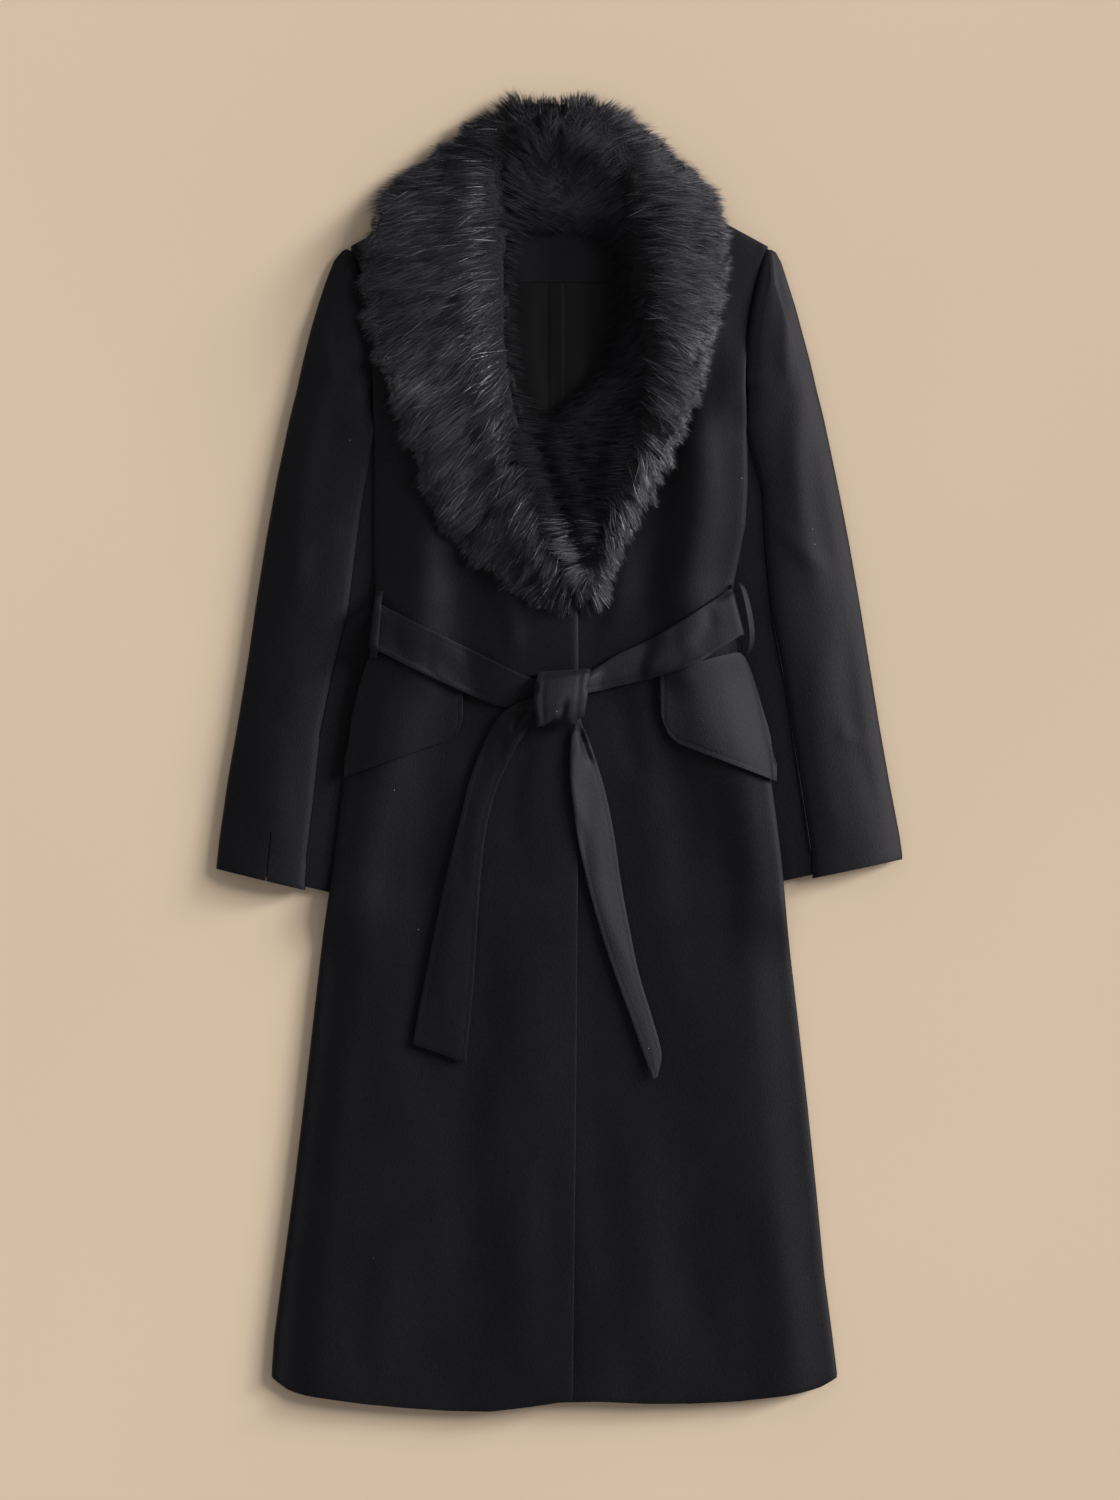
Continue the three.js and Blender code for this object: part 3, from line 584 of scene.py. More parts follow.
@dataclass(frozen=True)
class GlintGuardHair(Hair):
    """The few long outer hairs, with pale tips and high gloss: pale hairs of the fur, and painted highlights
    where they gather.
    """

    name: str = "guard_hair_painted_glints"
    middle: Triple = (0.17, 0.168, 0.183)
    tip: Triple = (0.7, 0.7, 0.72)
    roughness: float = 0.3
    gloss: float = 0.8


@dataclass(frozen=True)
class Underfur:
    """The dense short fur that the long hairs stand in."""

    name: str = "under_fur"
    dark: Triple = (0.005, 0.0049, 0.006)
    light: Triple = (0.013, 0.0127, 0.0155)
    tuft_scale: float = 420
    tuft_depth: float = 0.003
    roughness: float = 0.85
    gloss: float = 0.2

    def material(self) -> bpy.types.Material:
        """Makes the material from its nodes."""
        nodes = Nodes(self.name)
        tufts = nodes.noise(self.tuft_scale, 5)
        nodes.set(Base_Color=nodes.ramp(tufts, [(0.35, self.dark), (0.75, self.light)]))
        bump = nodes.bump(tufts, 1.0, self.tuft_depth)
        nodes.set(Normal=bump.outputs[0], Roughness=self.roughness, Specular_IOR_Level=self.gloss)
        return nodes.material


@dataclass(frozen=True)
class Ground:
    """The pale warm surface that the coat is laid on."""

    name: str = "studio_ground"
    colour: Triple = (0.76, 0.60, 0.445)
    cloud_scale: float = 1.4
    cloud_shade: float = 0.97
    roughness: float = 0.95
    gloss: float = 0.1

    def material(self) -> bpy.types.Material:
        """Makes the material from its nodes."""
        nodes = Nodes(self.name)
        cloudy = nodes.noise(self.cloud_scale, 2)
        darker = tuple(c * self.cloud_shade for c in self.colour)
        nodes.set(Base_Color=nodes.ramp(cloudy, [(0.3, darker), (0.7, self.colour)]))
        nodes.set(Roughness=self.roughness, Specular_IOR_Level=self.gloss)
        return nodes.material


class Workroom:
    """Holds the finishes, each made once, and puts finished pieces on the frame."""

    def __init__(self) -> None:
        """Starts with no finish made and no sheet cut."""
        self.made: dict[str, bpy.types.Material] = {}
        self.sheets: dict[str, "Cloth"] = {}
        self.sewn: dict[str, list[bpy.types.Object]] = {}

    def finish(self, look: object) -> bpy.types.Material:
        """The material of a finish."""
        if look.name not in self.made:
            self.made[look.name] = look.material()
        return self.made[look.name]

    def sew(self, owner: str, piece: bpy.types.Object) -> None:
        """Notes that a piece is sewn to a sheet."""
        self.sewn.setdefault(owner, []).append(piece)

    def declare_sheets(self) -> None:
        """Does nothing with the sheets that were cut."""

    def hand_over(self, piece: bpy.types.Object, look: object, slot: Slot, *nodes: str) -> bpy.types.Object:
        """Gives a piece its finish and its place on the frame.

        Args:
            piece: The finished object, with its place in its mesh.
            look: Its finish.
            slot: Not used.
            *nodes: The frame's nodes that it stands for.

        Returns:
            The piece.
        """
        piece.data.materials.clear()
        piece.data.materials.append(self.finish(look))
        if nodes:
            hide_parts(*nodes)
        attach(piece, "root")
        log.info("%s: %d faces", piece.name, len(piece.data.polygons))
        return piece


def place(name: str, thing: bpy.types.ID) -> bpy.types.Object:
    """Makes an object of a mesh, a light or a camera, and puts it in the scene."""
    piece = bpy.data.objects.new(name, thing)
    bpy.context.scene.collection.objects.link(piece)
    return piece


def new_object(name: str, shape: bmesh.types.BMesh) -> bpy.types.Object:
    """Makes a smooth-shaded object from a shape, which is freed."""
    mesh = bpy.data.meshes.new(name)
    shape.to_mesh(mesh)
    shape.free()
    mesh.shade_smooth()
    return place(name, mesh)


def many(name: str, points: Array, faces: Array) -> bpy.types.Object:
    """Makes one smooth-shaded object of many small parts that have the same faces.

    Args:
        name: The object's name.
        points: The points of each part.
        faces: The triangles of one part, by its points.

    Returns:
        The object.
    """
    count, each = points.shape[:2]
    every = (faces[None] + (np.arange(count) * each)[:, None, None]).reshape(-1, 3)
    mesh = bpy.data.meshes.new(name)
    mesh.from_pydata(points.reshape(-1, 3).tolist(), [], every.tolist())
    mesh.shade_smooth()
    return place(name, mesh)


def lattice(points: Array) -> bmesh.types.BMesh:
    """A sheet through rows of points, facing up where the rows run up the plan.

    Args:
        points: Rows of points, from left to right.

    Returns:
        The sheet.
    """
    rows, columns = points.shape[:2]
    shape = bmesh.new()
    bmesh.ops.create_grid(shape, x_segments=columns - 1, y_segments=rows - 1, size=0.5)
    for corner in shape.verts:
        i = round((corner.co.x + 0.5) * (columns - 1))
        j = round((corner.co.y + 0.5) * (rows - 1))
        corner.co = points[j, i]
    return shape


@dataclass
class Cloth:
    """A piece of cloth of one thickness, given by the points of one face."""

    name: str
    points: Array
    thickness: float
    slot: Slot = Slot.WOOL
    look: object = field(default_factory=Wool)
    facing: Facing = Facing.UP
    rests_on: tuple[str, ...] = ()
    sewn_to: str = ""
    round_edge: float = 0.9 * MM
    edge_angle: float = 62.0

    @property
    def area(self) -> float:
        """The area of the given face in square metres."""
        across, along = np.diff(self.points, axis=1)[:-1], np.diff(self.points, axis=0)[:, :-1]
        return float(np.linalg.norm(np.cross(across, along), axis=2).sum())

    @property
    def flat(self) -> Pair:
        """The width and length that the piece is cut from."""
        width = np.linalg.norm(np.diff(self.points, axis=1), axis=2).sum(axis=1).max()
        length = np.linalg.norm(np.diff(self.points, axis=0), axis=2).sum(axis=0).max()
        return float(width), float(length)

    def build(
        self, room: Workroom, nodes: tuple[str, ...] = (), cut: "Slit | None" = None
    ) -> bpy.types.Object:
        """Makes the piece and puts it on the frame.

        Args:
            room: Where the finishes are kept.
            nodes: The frame's nodes that it stands for.
            cut: A slit cut into the sheet before it gets its thickness.

        Returns:
            The piece.
        """
        shape = lattice(self.points)
        if self.facing is Facing.DOWN:
            bmesh.ops.reverse_faces(shape, faces=shape.faces)
        if cut:
            cut.open(shape)
        piece = new_object(self.name, shape)
        wall = piece.modifiers.new("wall", "SOLIDIFY")
        wall.thickness = self.thickness
        wall.offset = -1
        wall.use_even_offset = True
        wall.thickness_clamp = 2.0
        edge = piece.modifiers.new("edge", "BEVEL")
        edge.affect = "EDGES"
        edge.width = min(self.round_edge, self.thickness * 0.35)
        edge.segments = 2
        edge.profile = 0.5
        edge.material = -1
        edge.limit_method = "ANGLE"
        edge.angle_limit = math.radians(self.edge_angle)
        room.hand_over(piece, self.look, self.slot, *nodes)
        if self.sewn_to:
            room.sew(self.sewn_to, piece)
        else:
            room.sheets[self.name] = self
        return piece


@dataclass(frozen=True)
class Slit:
    """A straight cut in from a piece's edge, in millimetres."""

    start: Pair
    end: Pair
    width: float
    past_edge: float = 10.0
    around: float = 12.0

    def open(self, shape: bmesh.types.BMesh) -> None:
        """Cuts the slit into a sheet."""
        start, end = (Vector((*point, 0)) * MM for point in (self.start, self.end))
        along = (end - start).normalized()
        side = Vector((along.y, -along.x, 0))

        def faces_within(reach: float) -> list[bmesh.types.BMFace]:
            """The faces by the slit's line, within a reach in millimetres on either side."""
            found = []
            for face in shape.faces:
                off = face.calc_center_median() - start
                by_line = -self.past_edge * MM < off.dot(along) < (end - start).length
                if by_line and abs(off.dot(side)) < reach * MM:
                    found.append(face)
            return found

        for sign in (1, -1):
            geometry = list({g for f in faces_within(self.around) for g in (*f.verts, *f.edges, f)})
            middle = start + side * sign * self.width * MM / 2
            bmesh.ops.bisect_plane(shape, geom=geometry, plane_co=middle, plane_no=side)
        bmesh.ops.delete(shape, geom=faces_within(self.width / 2), context="FACES")


@dataclass
class Stitching:
    """A row of machine stitches along a line that lies on cloth."""

    pitch: float = 3.4 * MM
    length: float = 2.5 * MM
    width: float = 0.5 * MM
    sink: float = 0.12 * MM

    def rows(self, name: str, owner: str, lines: list[Array], room: Workroom) -> bpy.types.Object:
        """Makes all the stitches of some lines, as one piece.

        Args:
            name: The piece's name.
            owner: The sheet that they are sewn in.
            lines: The points of each line.
            room: Where the finishes are kept.

        Returns:
            The piece.
        """
        shape = bmesh.new()
        bmesh.ops.create_icosphere(shape, subdivisions=1, radius=0.5)
        shape.verts.ensure_lookup_table()
        body = np.array([v.co for v in shape.verts]) * [self.length, self.width, self.width * 0.7]
        faces = np.array([[v.index for v in f.verts] for f in shape.faces])
        shape.free()
        corners: list[Array] = []
        for line in lines:
            along = lengths_along(line)
            spots = np.arange(self.pitch / 2, along[-1], self.pitch)
            places = np.stack([np.interp(spots, along, line[:, k]) for k in range(3)], axis=1)
            ahead = np.stack([np.interp(spots + MM, along, line[:, k]) for k in range(3)], axis=1)
            run = unit(ahead - places)
            side = unit(np.cross([0.0, 0.0, 1.0], run))
            up = np.cross(run, side)
            turned = body[None, :, 0:1] * run[:, None] + body[None, :, 1:2] * side[:, None]
            turned = turned + body[None, :, 2:3] * up[:, None]
            corners.append(turned + places[:, None] - up[:, None] * self.sink)
        piece = many(name, np.concatenate(corners), faces)
        room.sew(owner, piece)
        return room.hand_over(piece, Thread(), Slot.WOOL)


@dataclass(frozen=True)
class Corners:
    """The Y of a panel's four corners, in millimetres."""

    left_hem: float
    left_top: float
    right_hem: float
    right_top: float


@dataclass
class Panel:
    """Lays a grid of points over a solid's plan, in columns that follow its two sides."""

    solid: Solid
    corners: Corners
    rows: int
    middle: int
    left_steps: tuple[float, ...] = (0.0, 1.2, 3.0, 6.0, 10.0)
    right_steps: tuple[float, ...] = (0.0, 1.2, 3.0, 6.0, 10.0)
    left_in: float = 0.0
    right_in: float = 0.0
    inset_below: float = 700.0
    hem_band: float = 24.0
    top_band: float = 9.0

    def __post_init__(self) -> None:
        """Measures the plan's outline once."""
        self.by_y = self.solid.reach(1)
        self.by_x = self.solid.reach(0)

    def side(self, y: Array, right: bool) -> Array:
        """The X of the left or right side at each Y."""
        c = self.corners
        low, high = (c.right_hem, c.right_top) if right else (c.left_hem, c.left_top)
        levels, least, most = self.by_y
        held = np.clip(y, low * MM, high * MM)
        edge = np.interp(held, levels, most if right else least)
        inset = smooth((self.inset_below * MM - held) / 0.03) * MM
        return edge - self.right_in * inset if right else edge + self.left_in * inset

    def column_x(self, y: Array) -> Array:
        """The X of each point of a grid, from its Y.

        Args:
            y: The grid's Y, in rows.

        Returns:
            The grid's X.
        """
        left, right = self.side(y, False), self.side(y, True)
        near, far = np.array(self.left_steps) * MM, np.array(self.right_steps)[::-1] * MM
        tight = np.minimum(1.0, 0.42 * (right - left) / (near[-1] + far[0]) * 2)
        x = np.empty_like(y)
        count = len(near)
        x[:, :count] = left[:, :count] + near * tight[:, :count]
        x[:, -len(far):] = right[:, -len(far):] - far * tight[:, -len(far):]
        shares = (np.arange(self.middle) + 1) / (self.middle + 1)
        inner = slice(count, count + self.middle)
        start = left[:, inner] + near[-1] * tight[:, inner]
        end = right[:, inner] - far[0] * tight[:, inner]
        x[:, inner] = mix(start, end, shares)
        return x

    def plan(self) -> tuple[Array, Array]:
        """The X and Y of each point, in rows from the hem up."""
        c = self.corners
        columns = len(self.left_steps) + self.middle + len(self.right_steps)
        across = np.linspace(0, 1, columns)
        hem_line = mix(c.left_hem, c.right_hem, across) * MM
        top_line = mix(c.left_top, c.right_top, across) * MM
        hem, top = hem_line, top_line
        levels, least, most = self.by_x
        for _ in range(8):
            ends = self.column_x(np.stack([hem, top]))
            hem, top = np.interp(ends[0], levels, least), np.interp(ends[1], levels, most)
            hem = np.where(np.abs(hem - hem_line) < self.hem_band * MM, hem, hem_line)
            top = np.where(np.abs(top - top_line) < self.top_band * MM, top, top_line)
        y = mix(hem, top, np.linspace(0, 1, self.rows)[:, None])
        return self.column_x(y), y

    def from_side(self, x: Array, y: Array, right: bool) -> Array:
        """How far in each point lies from the left or right side."""
        edge = self.side(y, right)
        return edge - x if right else x - edge


def fold_profile(inward: Array, height: float, turn: float = 5 * MM) -> Array:
    """The height of a side fold's upper face, which is round over its outermost few millimetres.

    Args:
        inward: How far in each point lies from the fold.
        height: The fold's full height.
        turn: How far in the round part reaches.

    Returns:
        The height at each point.
    """
    short = 1 - np.clip(inward / turn, 0, 1)
    return height * mix(0.42, 1.0, np.sqrt(1 - short**2))


def ripple(x: Array, y: Array, seed: int, depth: float) -> Array:
    """The slight unevenness of cloth that was smoothed out by hand.

    Args:
        x: The points' X in metres.
        y: The points' Y in metres.
        seed: Which ripples are drawn.
        depth: Their depth in metres.

    Returns:
        The lift at each point, in metres.
    """
    draw = np.random.default_rng(seed)
    lift = np.zeros_like(x)
    for _ in range(9):
        wave = draw.uniform(0.05, 0.19)
        turn = draw.normal(math.pi / 2, 0.9)
        phase = draw.uniform(0, math.tau)
        lift += np.sin((x * math.sin(turn) + y * 0.45 * math.cos(turn)) * math.tau / wave + phase)
    return depth * lift / 3.0


@dataclass
class Body:
    """The back, the two fronts, and what shows of the inside at the neck."""

    cloth: float = COAT_CLOTH
    inside_cloth: float = 1.2 * MM
    shoulder_tip_y: float = 474.0
    underarm_y: float = 332.0
    neck_y: float = 531.0
    edge_stitch_in: float = 8.0
    stitched_below: float = 130.0
    round_off: float = 3.0 * MM
    round_over: float = 46 * MM
    puff: float = 3.0 * MM
    fold_height: float = 8.0 * MM
    left_fold_height: float = 4.6 * MM
    creases: tuple[Crease, ...] = (
        Crease((-40, 96), (-70, 176), 1.4, 9),
        Crease((-78, 118), (-96, 214), 0.6, 14),
        Crease((-148, 138), (-150, 230), -0.5, 11),
        Crease((40, 100), (58, 196), 1.1, 9),
        Crease((148, 150), (152, 300), -1.9, 12),
        Crease((88, 150), (104, 300), -1.7, 16),
        Crease((-128, 54), (-134, 96), 0.8, 11),
        Crease((-30, 10), (-42, -90), -1.2, 11),
        Crease((60, 44), (74, -20), -1.4, 11),
        Crease((110, 66), (128, 74), 1.4, 8),
        Crease((-104, -20), (-128, -230), -0.8, 16),
        Crease((-60, -190), (-76, -560), -1.3, 24),
        Crease((44, -130), (50, -500), -1.0, 22),
        Crease((106, -60), (120, -260), 1.2, 19),
        Crease((184, -120), (214, -520), 1.0, 22),
        Crease((-196, -150), (-226, -520), 1.0, 24),
        Crease((-170, -440), (-186, -590), -1.2, 16),
        Crease((136, -400), (150, -590), -1.3, 19),
        Crease((-20, -360), (-26, -590), 0.8, 16),
        Crease((160, 420), (168, 330), 1.0, 12),
        Crease((-164, 404), (-168, 320), -1.0, 11),
    )

    def front(self, hand: Hand, room: Workroom, bed: Bed) -> None:
        """Makes a front, rounded off at the side and creased.

        Args:
            hand: Which front.
            room: Where the finishes are kept.
            bed: What is laid so far.
        """
        right_front = hand is Hand.RIGHT
        edge_steps = (0.0, 1.5, 4.0, 7.0, self.edge_stitch_in, 9.0, 13.0)
        fold_steps = (0.0, 1.0, 2.6, 5.0, 9.0)
        tip, neck = self.shoulder_tip_y, self.neck_y
        panel = Panel(
            Solid(f"front_{hand.value}"),
            Corners(-586, tip, -607, neck) if right_front else Corners(-616, neck, -586, tip),
            rows=222,
            middle=44,
            left_steps=fold_steps if right_front else edge_steps,
            right_steps=edge_steps if right_front else fold_steps,
        )
        x, y = panel.plan()
        inward = panel.from_side(x, y, not right_front)
        z = soften(panel.solid.heights(x, y), 13 if right_front else 8)
        body = smooth(inward / self.round_over)
        folded = smooth((self.underarm_y * MM - y) / 0.035)
        on_sleeve = smooth((y + 0.16) / 0.05)
        z += self.puff * mix(1.9, 1.0, on_sleeve) * body
        z -= self.round_off * (1 - body) ** 2 * folded * on_sleeve
        curl = mix(1.0, 2.4, folded) * MM
        z -= curl * drop(inward, 5 * MM)
        fold_height = self.fold_height if right_front else self.left_fold_height
        z = mix(np.maximum(z, fold_profile(inward, fold_height)), z, on_sleeve)
        edge_curl = mix(0.3, 1.6, smooth((y - 0.05) / 0.03)) * MM
        z -= edge_curl * drop(panel.from_side(x, y, right_front), 5 * MM)
        for crease in self.creases:
            z += crease.lift(x, y) * body
        z += ripple(x, y, 11 + right_front, 0.55 * MM) * body
        hem_share = smooth((y + 0.5) / 0.12)
        z += (1 - hem_share) * 0.9 * MM * np.sin(x / 0.031 + 0.7 * right_front) * body
        points = np.stack([x, y, z], axis=-1)
        bed.lay(points)
        name = f"front_{hand.value}_cloth"
        Cloth(name, points, self.cloth, rests_on=("back_cloth",)).build(room, (f"front_{hand.value}",))
        if right_front:
            column = points.shape[1] - len(edge_steps) + edge_steps[::-1].index(self.edge_stitch_in)
            line = points[:, column]
            line = line[line[:, 1] < self.stitched_below * MM]
            Stitching().rows("front_edge_stitches", name, [line], room)

    def back(self, room: Workroom, bed: Bed) -> None:
        """Makes the back, flat below where it lies on the surface."""
        tip = self.shoulder_tip_y
        panel = Panel(
            Solid("back", Facing.DOWN),
            Corners(-584, tip, -584, tip),
            rows=150,
            middle=58,
            left_in=3.5,
            right_in=3.5,
            inset_below=self.underarm_y,
        )
        x, y = panel.plan()
        z = panel.solid.heights(x, y)
        raised = smooth((z - 0.2 * MM) / (2 * MM))
        z = mix(z, soften(z, 4), raised)
        points = np.stack([x, y, z], axis=-1)
        rests_on = ("under_sleeve_right",)
        piece = Cloth("back_cloth", points, self.cloth, facing=Facing.DOWN, rests_on=rests_on)
        piece.build(room, ("back",))
        bed.lay(points + [0, 0, self.cloth])

    def inside(self, room: Workroom, bed: Bed) -> None:
        """Makes the back neck facing and the pleated lining, which show in the neck opening."""
        parts = (("neck_facing", Wool(), Slot.WOOL), ("back_lining", Satin(), Slot.LINING))
        for node, look, slot in parts:
            low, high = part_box(node)
            x, y = np.meshgrid(np.linspace(low.x, high.x, 121), np.linspace(low.y, high.y, 40))
            z = np.full_like(x, high.z)
            if slot is Slot.LINING:
                pleat_left, pleat_right, pleat_edge = -10.5 * MM, 3.5 * MM, 1.6 * MM
                fold = np.clip((x - pleat_left) / pleat_edge, 0, 1)
                z += 0.5 * MM * (fold * np.clip((pleat_right - x) / pleat_edge, 0, 1))
                z += 0.7 * MM * np.sin(x / 0.011 + 1.2 * np.sin(y / 0.05)) ** 2
                z += 1.2 * MM * smooth((0.44 - y) / 0.16) * hump(x, 0.016, 0.014)
            else:
                z += 0.3 * MM * np.sin(x / 0.011) + 0.5 * MM
            points = np.stack([x, y, z], axis=-1)
            bed.lay(points)
            piece = Cloth(f"{node}_cloth", points, self.inside_cloth, slot, look, rests_on=("back_cloth",))
            piece.build(room, (node,))


@dataclass
class Sleeve:
    """A sleeve pressed flat: an upper piece, and an under piece round its inner fold to the seam."""

    hand: Hand
    cuff_outer_y: float
    cuff_inner_y: float
    cloth: float = COAT_CLOTH
    top_y: float = 471.0
    return_from_y: float = 338.0
    seam_gap: float = 5.2
    cuff_in: float = 3.5
    under_in: float = 3.0
    puff: float = 7.0 * MM
    fold_height: float = 8.6 * MM
    left_fold_height: float = 5.4 * MM

    def plan_of(self, solid: Solid, top: float, middle: int, rows: int, **edges: float) -> Panel:
        """A panel over one of the sleeve's pieces."""
        outer, inner = self.cuff_outer_y, self.cuff_inner_y
        if self.hand is Hand.RIGHT:
            corners = Corners(outer, top, inner, top)
        else:
            corners = Corners(inner, top, outer, top)
        return Panel(solid, corners, rows=rows, middle=middle, **edges)

    def draw_up_cuff(self, y: Array) -> Array:
        """Draws the lowest rows up, so that the cuff's hem is rounded in under the upper piece."""
        return y + self.cuff_in * MM * np.linspace(1, 0, len(y))[:, None] ** 12

    def creases(self) -> tuple[Crease, ...]:
        """The soft creases across and along the sleeve."""
        s = self.hand.outward
        return (
            Crease((s * 226, 330), (s * 244, 150), 1.8, 13),
            Crease((s * 206, 210), (s * 252, 170), 1.0, 9),
            Crease((s * 276, 150), (s * 300, -60), -1.3, 12),
            Crease((s * 240, 80), (s * 262, -80), 1.2, 14),
            Crease((s * 262, 20), (s * 290, 6), 0.9, 8),
            Crease((s * 222, 430), (s * 214, 350), 1.4, 8),
        )

    def build(self, room: Workroom, bed: Bed) -> None:
        """Makes the sleeve's pieces.

        Args:
            room: Where the finishes are kept.
            bed: What is laid so far.
        """
        side = self.hand.value
        outer_left = self.hand is Hand.RIGHT
        node, name = f"under_sleeve_{side}", f"under_sleeve_{side}_lower"
        inset = {"left_in" if outer_left else "right_in": self.under_in}
        lying = Solid(node, Facing.DOWN, to_z=1.4 * MM)
        x, y = self.plan_of(lying, self.top_y, 16, 90, **inset).plan()
        below = np.stack([x, self.draw_up_cuff(y), np.zeros_like(x)], axis=-1)
        lower = Cloth(name, below, self.cloth, facing=Facing.DOWN, rests_on=("back_cloth",))
        lower.build(room, (node,))
        turned = self.plan_of(Solid(node, Facing.UP, from_z=5 * MM), self.return_from_y, 12, 100)
        x, y = turned.plan()
        y = self.draw_up_cuff(y)
        z = soften(turned.solid.heights(x, y), 4)
        z -= 1.6 * MM * drop(turned.from_side(x, y, outer_left), 5 * MM)
        points = np.stack([x, y, z], axis=-1)
        bed.lay(points)
        Cloth(f"{node}_upper", points, self.cloth, rests_on=(name,)).build(room)
        self.upper(room, bed, name)

    def straighten_seam(self, x: Array, y: Array) -> None:
        """Runs each row straight on to the seam, along its line between two columns further in."""
        right = self.hand is Hand.RIGHT
        seam, near, far = (slice(-3, None), -4, -8) if right else (slice(0, 3), 3, 7)
        slope = (y[:, near] - y[:, far]) / (x[:, near] - x[:, far])
        y[:, seam] = y[:, near, None] + slope[:, None] * (x[:, seam] - x[:, near, None])

    def upper(self, room: Workroom, bed: Bed, below: str) -> None:
        """Makes the upper piece, which meets the body at the armhole.

        Args:
            room: Where the finishes are kept.
            bed: What is laid so far.
            below: The piece that it rests on.
        """
        side = self.hand.value
        outer_left = self.hand is Hand.RIGHT
        panel = self.plan_of(Solid(f"top_sleeve_{side}"), self.top_y, 26, 130)
        x, y = panel.plan()
        self.straighten_seam(x, y)
        from_outer = panel.from_side(x, y, not outer_left)
        width = from_outer + panel.from_side(x, y, outer_left)
        share = np.clip(from_outer / np.maximum(width, 1e-6), 0, 1)
        z = soften(panel.solid.heights(x, y), 4)
        reach = self.seam_gap * MM * smooth((y - self.return_from_y * MM) / 0.012)
        x = x - self.hand.outward * reach * share
        z += self.puff * np.sin(math.pi * share) ** 0.55 * np.minimum(width / 0.08, 1)
        fold_height = self.fold_height if outer_left else self.left_fold_height
        z = np.maximum(z, fold_profile(from_outer, fold_height) * np.minimum(width / 0.05, 1))
        z -= 0.9 * MM * drop(width - from_outer, 3 * MM)
        for crease in self.creases():
            z += crease.lift(x, y) * np.sin(math.pi * share)
        z += ripple(x, y, 31, 0.45 * MM) * np.sin(math.pi * share)
        points = np.stack([x, y, z], axis=-1)
        bed.lay(points)
        slit = Slit((-277, -134), (-271, -77), 0.8) if self.hand is Hand.RIGHT else None
        # The left sleeve's wool carries painted light.
        look = Wool() if self.hand is Hand.RIGHT else SleevePaintedLightWool()
        piece = Cloth(f"top_sleeve_{side}_cloth", points, self.cloth, look=look, rests_on=(below,))
        piece.build(room, (f"top_sleeve_{side}",), slit)


@dataclass
class Strap:
    """A stretch of the belt, by stations that give the X and Y of its one edge and of its other."""

    node: str
    stations: tuple[Station, ...]
    count: int
    look: Wool = field(default_factory=PaintedShadeWool)
    creases: tuple[Crease, ...] = ()
    thickness: float = BELT_CLOTH
    stitch_in: float = 5.0
    wrap: Hand | None = None
    edges: tuple[float, ...] = (0.0, 1.2, 3.6, 5.0, 6.4)

    @property
    def name(self) -> str:
        """The piece's name."""
        return f"{self.node}_cloth"

    def grid(self, bed: Bed) -> Array:
        """The points of the upper face, laid on what is there."""
        line = through(np.array(self.stations, float) * MM, self.count)
        upper, lower = line[:, 0:2], line[:, 2:4]
        width = np.linalg.norm(lower - upper, axis=1)
        shares = self.shares(width)
        plan = upper[:, None] + (lower - upper)[:, None] * shares[..., None]
        z = bed.heights(plan[..., 0], plan[..., 1], 4 * MM) + self.thickness + 0.4 * MM
        z = np.maximum(soften(z, 7), soften(Solid(self.node).heights(plan[..., 0], plan[..., 1]), 3))
        for crease in self.creases:
            z += crease.lift(plan[..., 0], plan[..., 1])
        groove = hump(shares * width[:, None], self.stitch_in * MM, 0.9 * MM)
        groove += hump((1 - shares) * width[:, None], self.stitch_in * MM, 0.9 * MM)
        z += 0.9 * MM * np.sin(math.pi * shares) ** 0.6 - 0.16 * MM * groove
        return np.concatenate([plan, z[..., None]], axis=-1)

    def shares(self, width: Array) -> Array:
        """Where the columns lie across each row, as shares of its width."""
        near = np.array(self.edges) * MM
        tight = np.minimum(1.0, width / (near[-1] * 2.6))
        left = near[None] * tight[:, None] / width[:, None]
        middle = mix(left[:, -1:], 1 - left[:, -1:], np.linspace(0, 1, 8)[None, 1:-1])
        return np.concatenate([left, middle, 1 - left[:, ::-1]], axis=1)

    def around_fold(self, points: Array) -> Array:
        """Adds rows that take the strap round the side fold of the coat."""
        first = points[0]
        out = self.wrap.outward
        turn = ((1.9, -0.9), (3.0, -2.8), (3.2, -5.4), (2.8, -7.8))
        rows = [first + np.array([out * dx, 0, dz]) * MM for dx, dz in turn]
        for row in rows:
            row[:, 2] = np.maximum(row[:, 2], 0.6 * MM)
        return np.concatenate([np.stack(rows[::-1]), points])

    def build(self, room: Workroom, bed: Bed) -> Array:
        """Makes the strap with its two rows of stitches.

        Args:
            room: Where the finishes are kept.
            bed: What is laid so far.

        Returns:
            The points of its upper face.
        """
        points = self.grid(bed)
        if self.wrap:
            points = self.around_fold(points)
        shape = points if self.faces_up(points) else points[:, ::-1]
        rests_on = ("front_right_cloth", "front_left_cloth")
        piece = Cloth(self.name, shape, self.thickness, look=self.look, rests_on=rests_on)
        piece.round_edge = BELT_EDGE
        piece.build(room, (self.node,))
        column = self.edges.index(self.stitch_in)
        lines = [points[:, column], points[:, -1 - column]]
        Stitching().rows(f"{self.name}_stitches", self.name, lines, room)
        return points

    @staticmethod
    def faces_up(points: Array) -> bool:
        """Whether a sheet through the points looks up."""
        across, along = np.diff(points, axis=1)[:-1], np.diff(points, axis=0)[:, :-1]
        return bool(np.cross(across, along)[..., 2].sum() > 0)


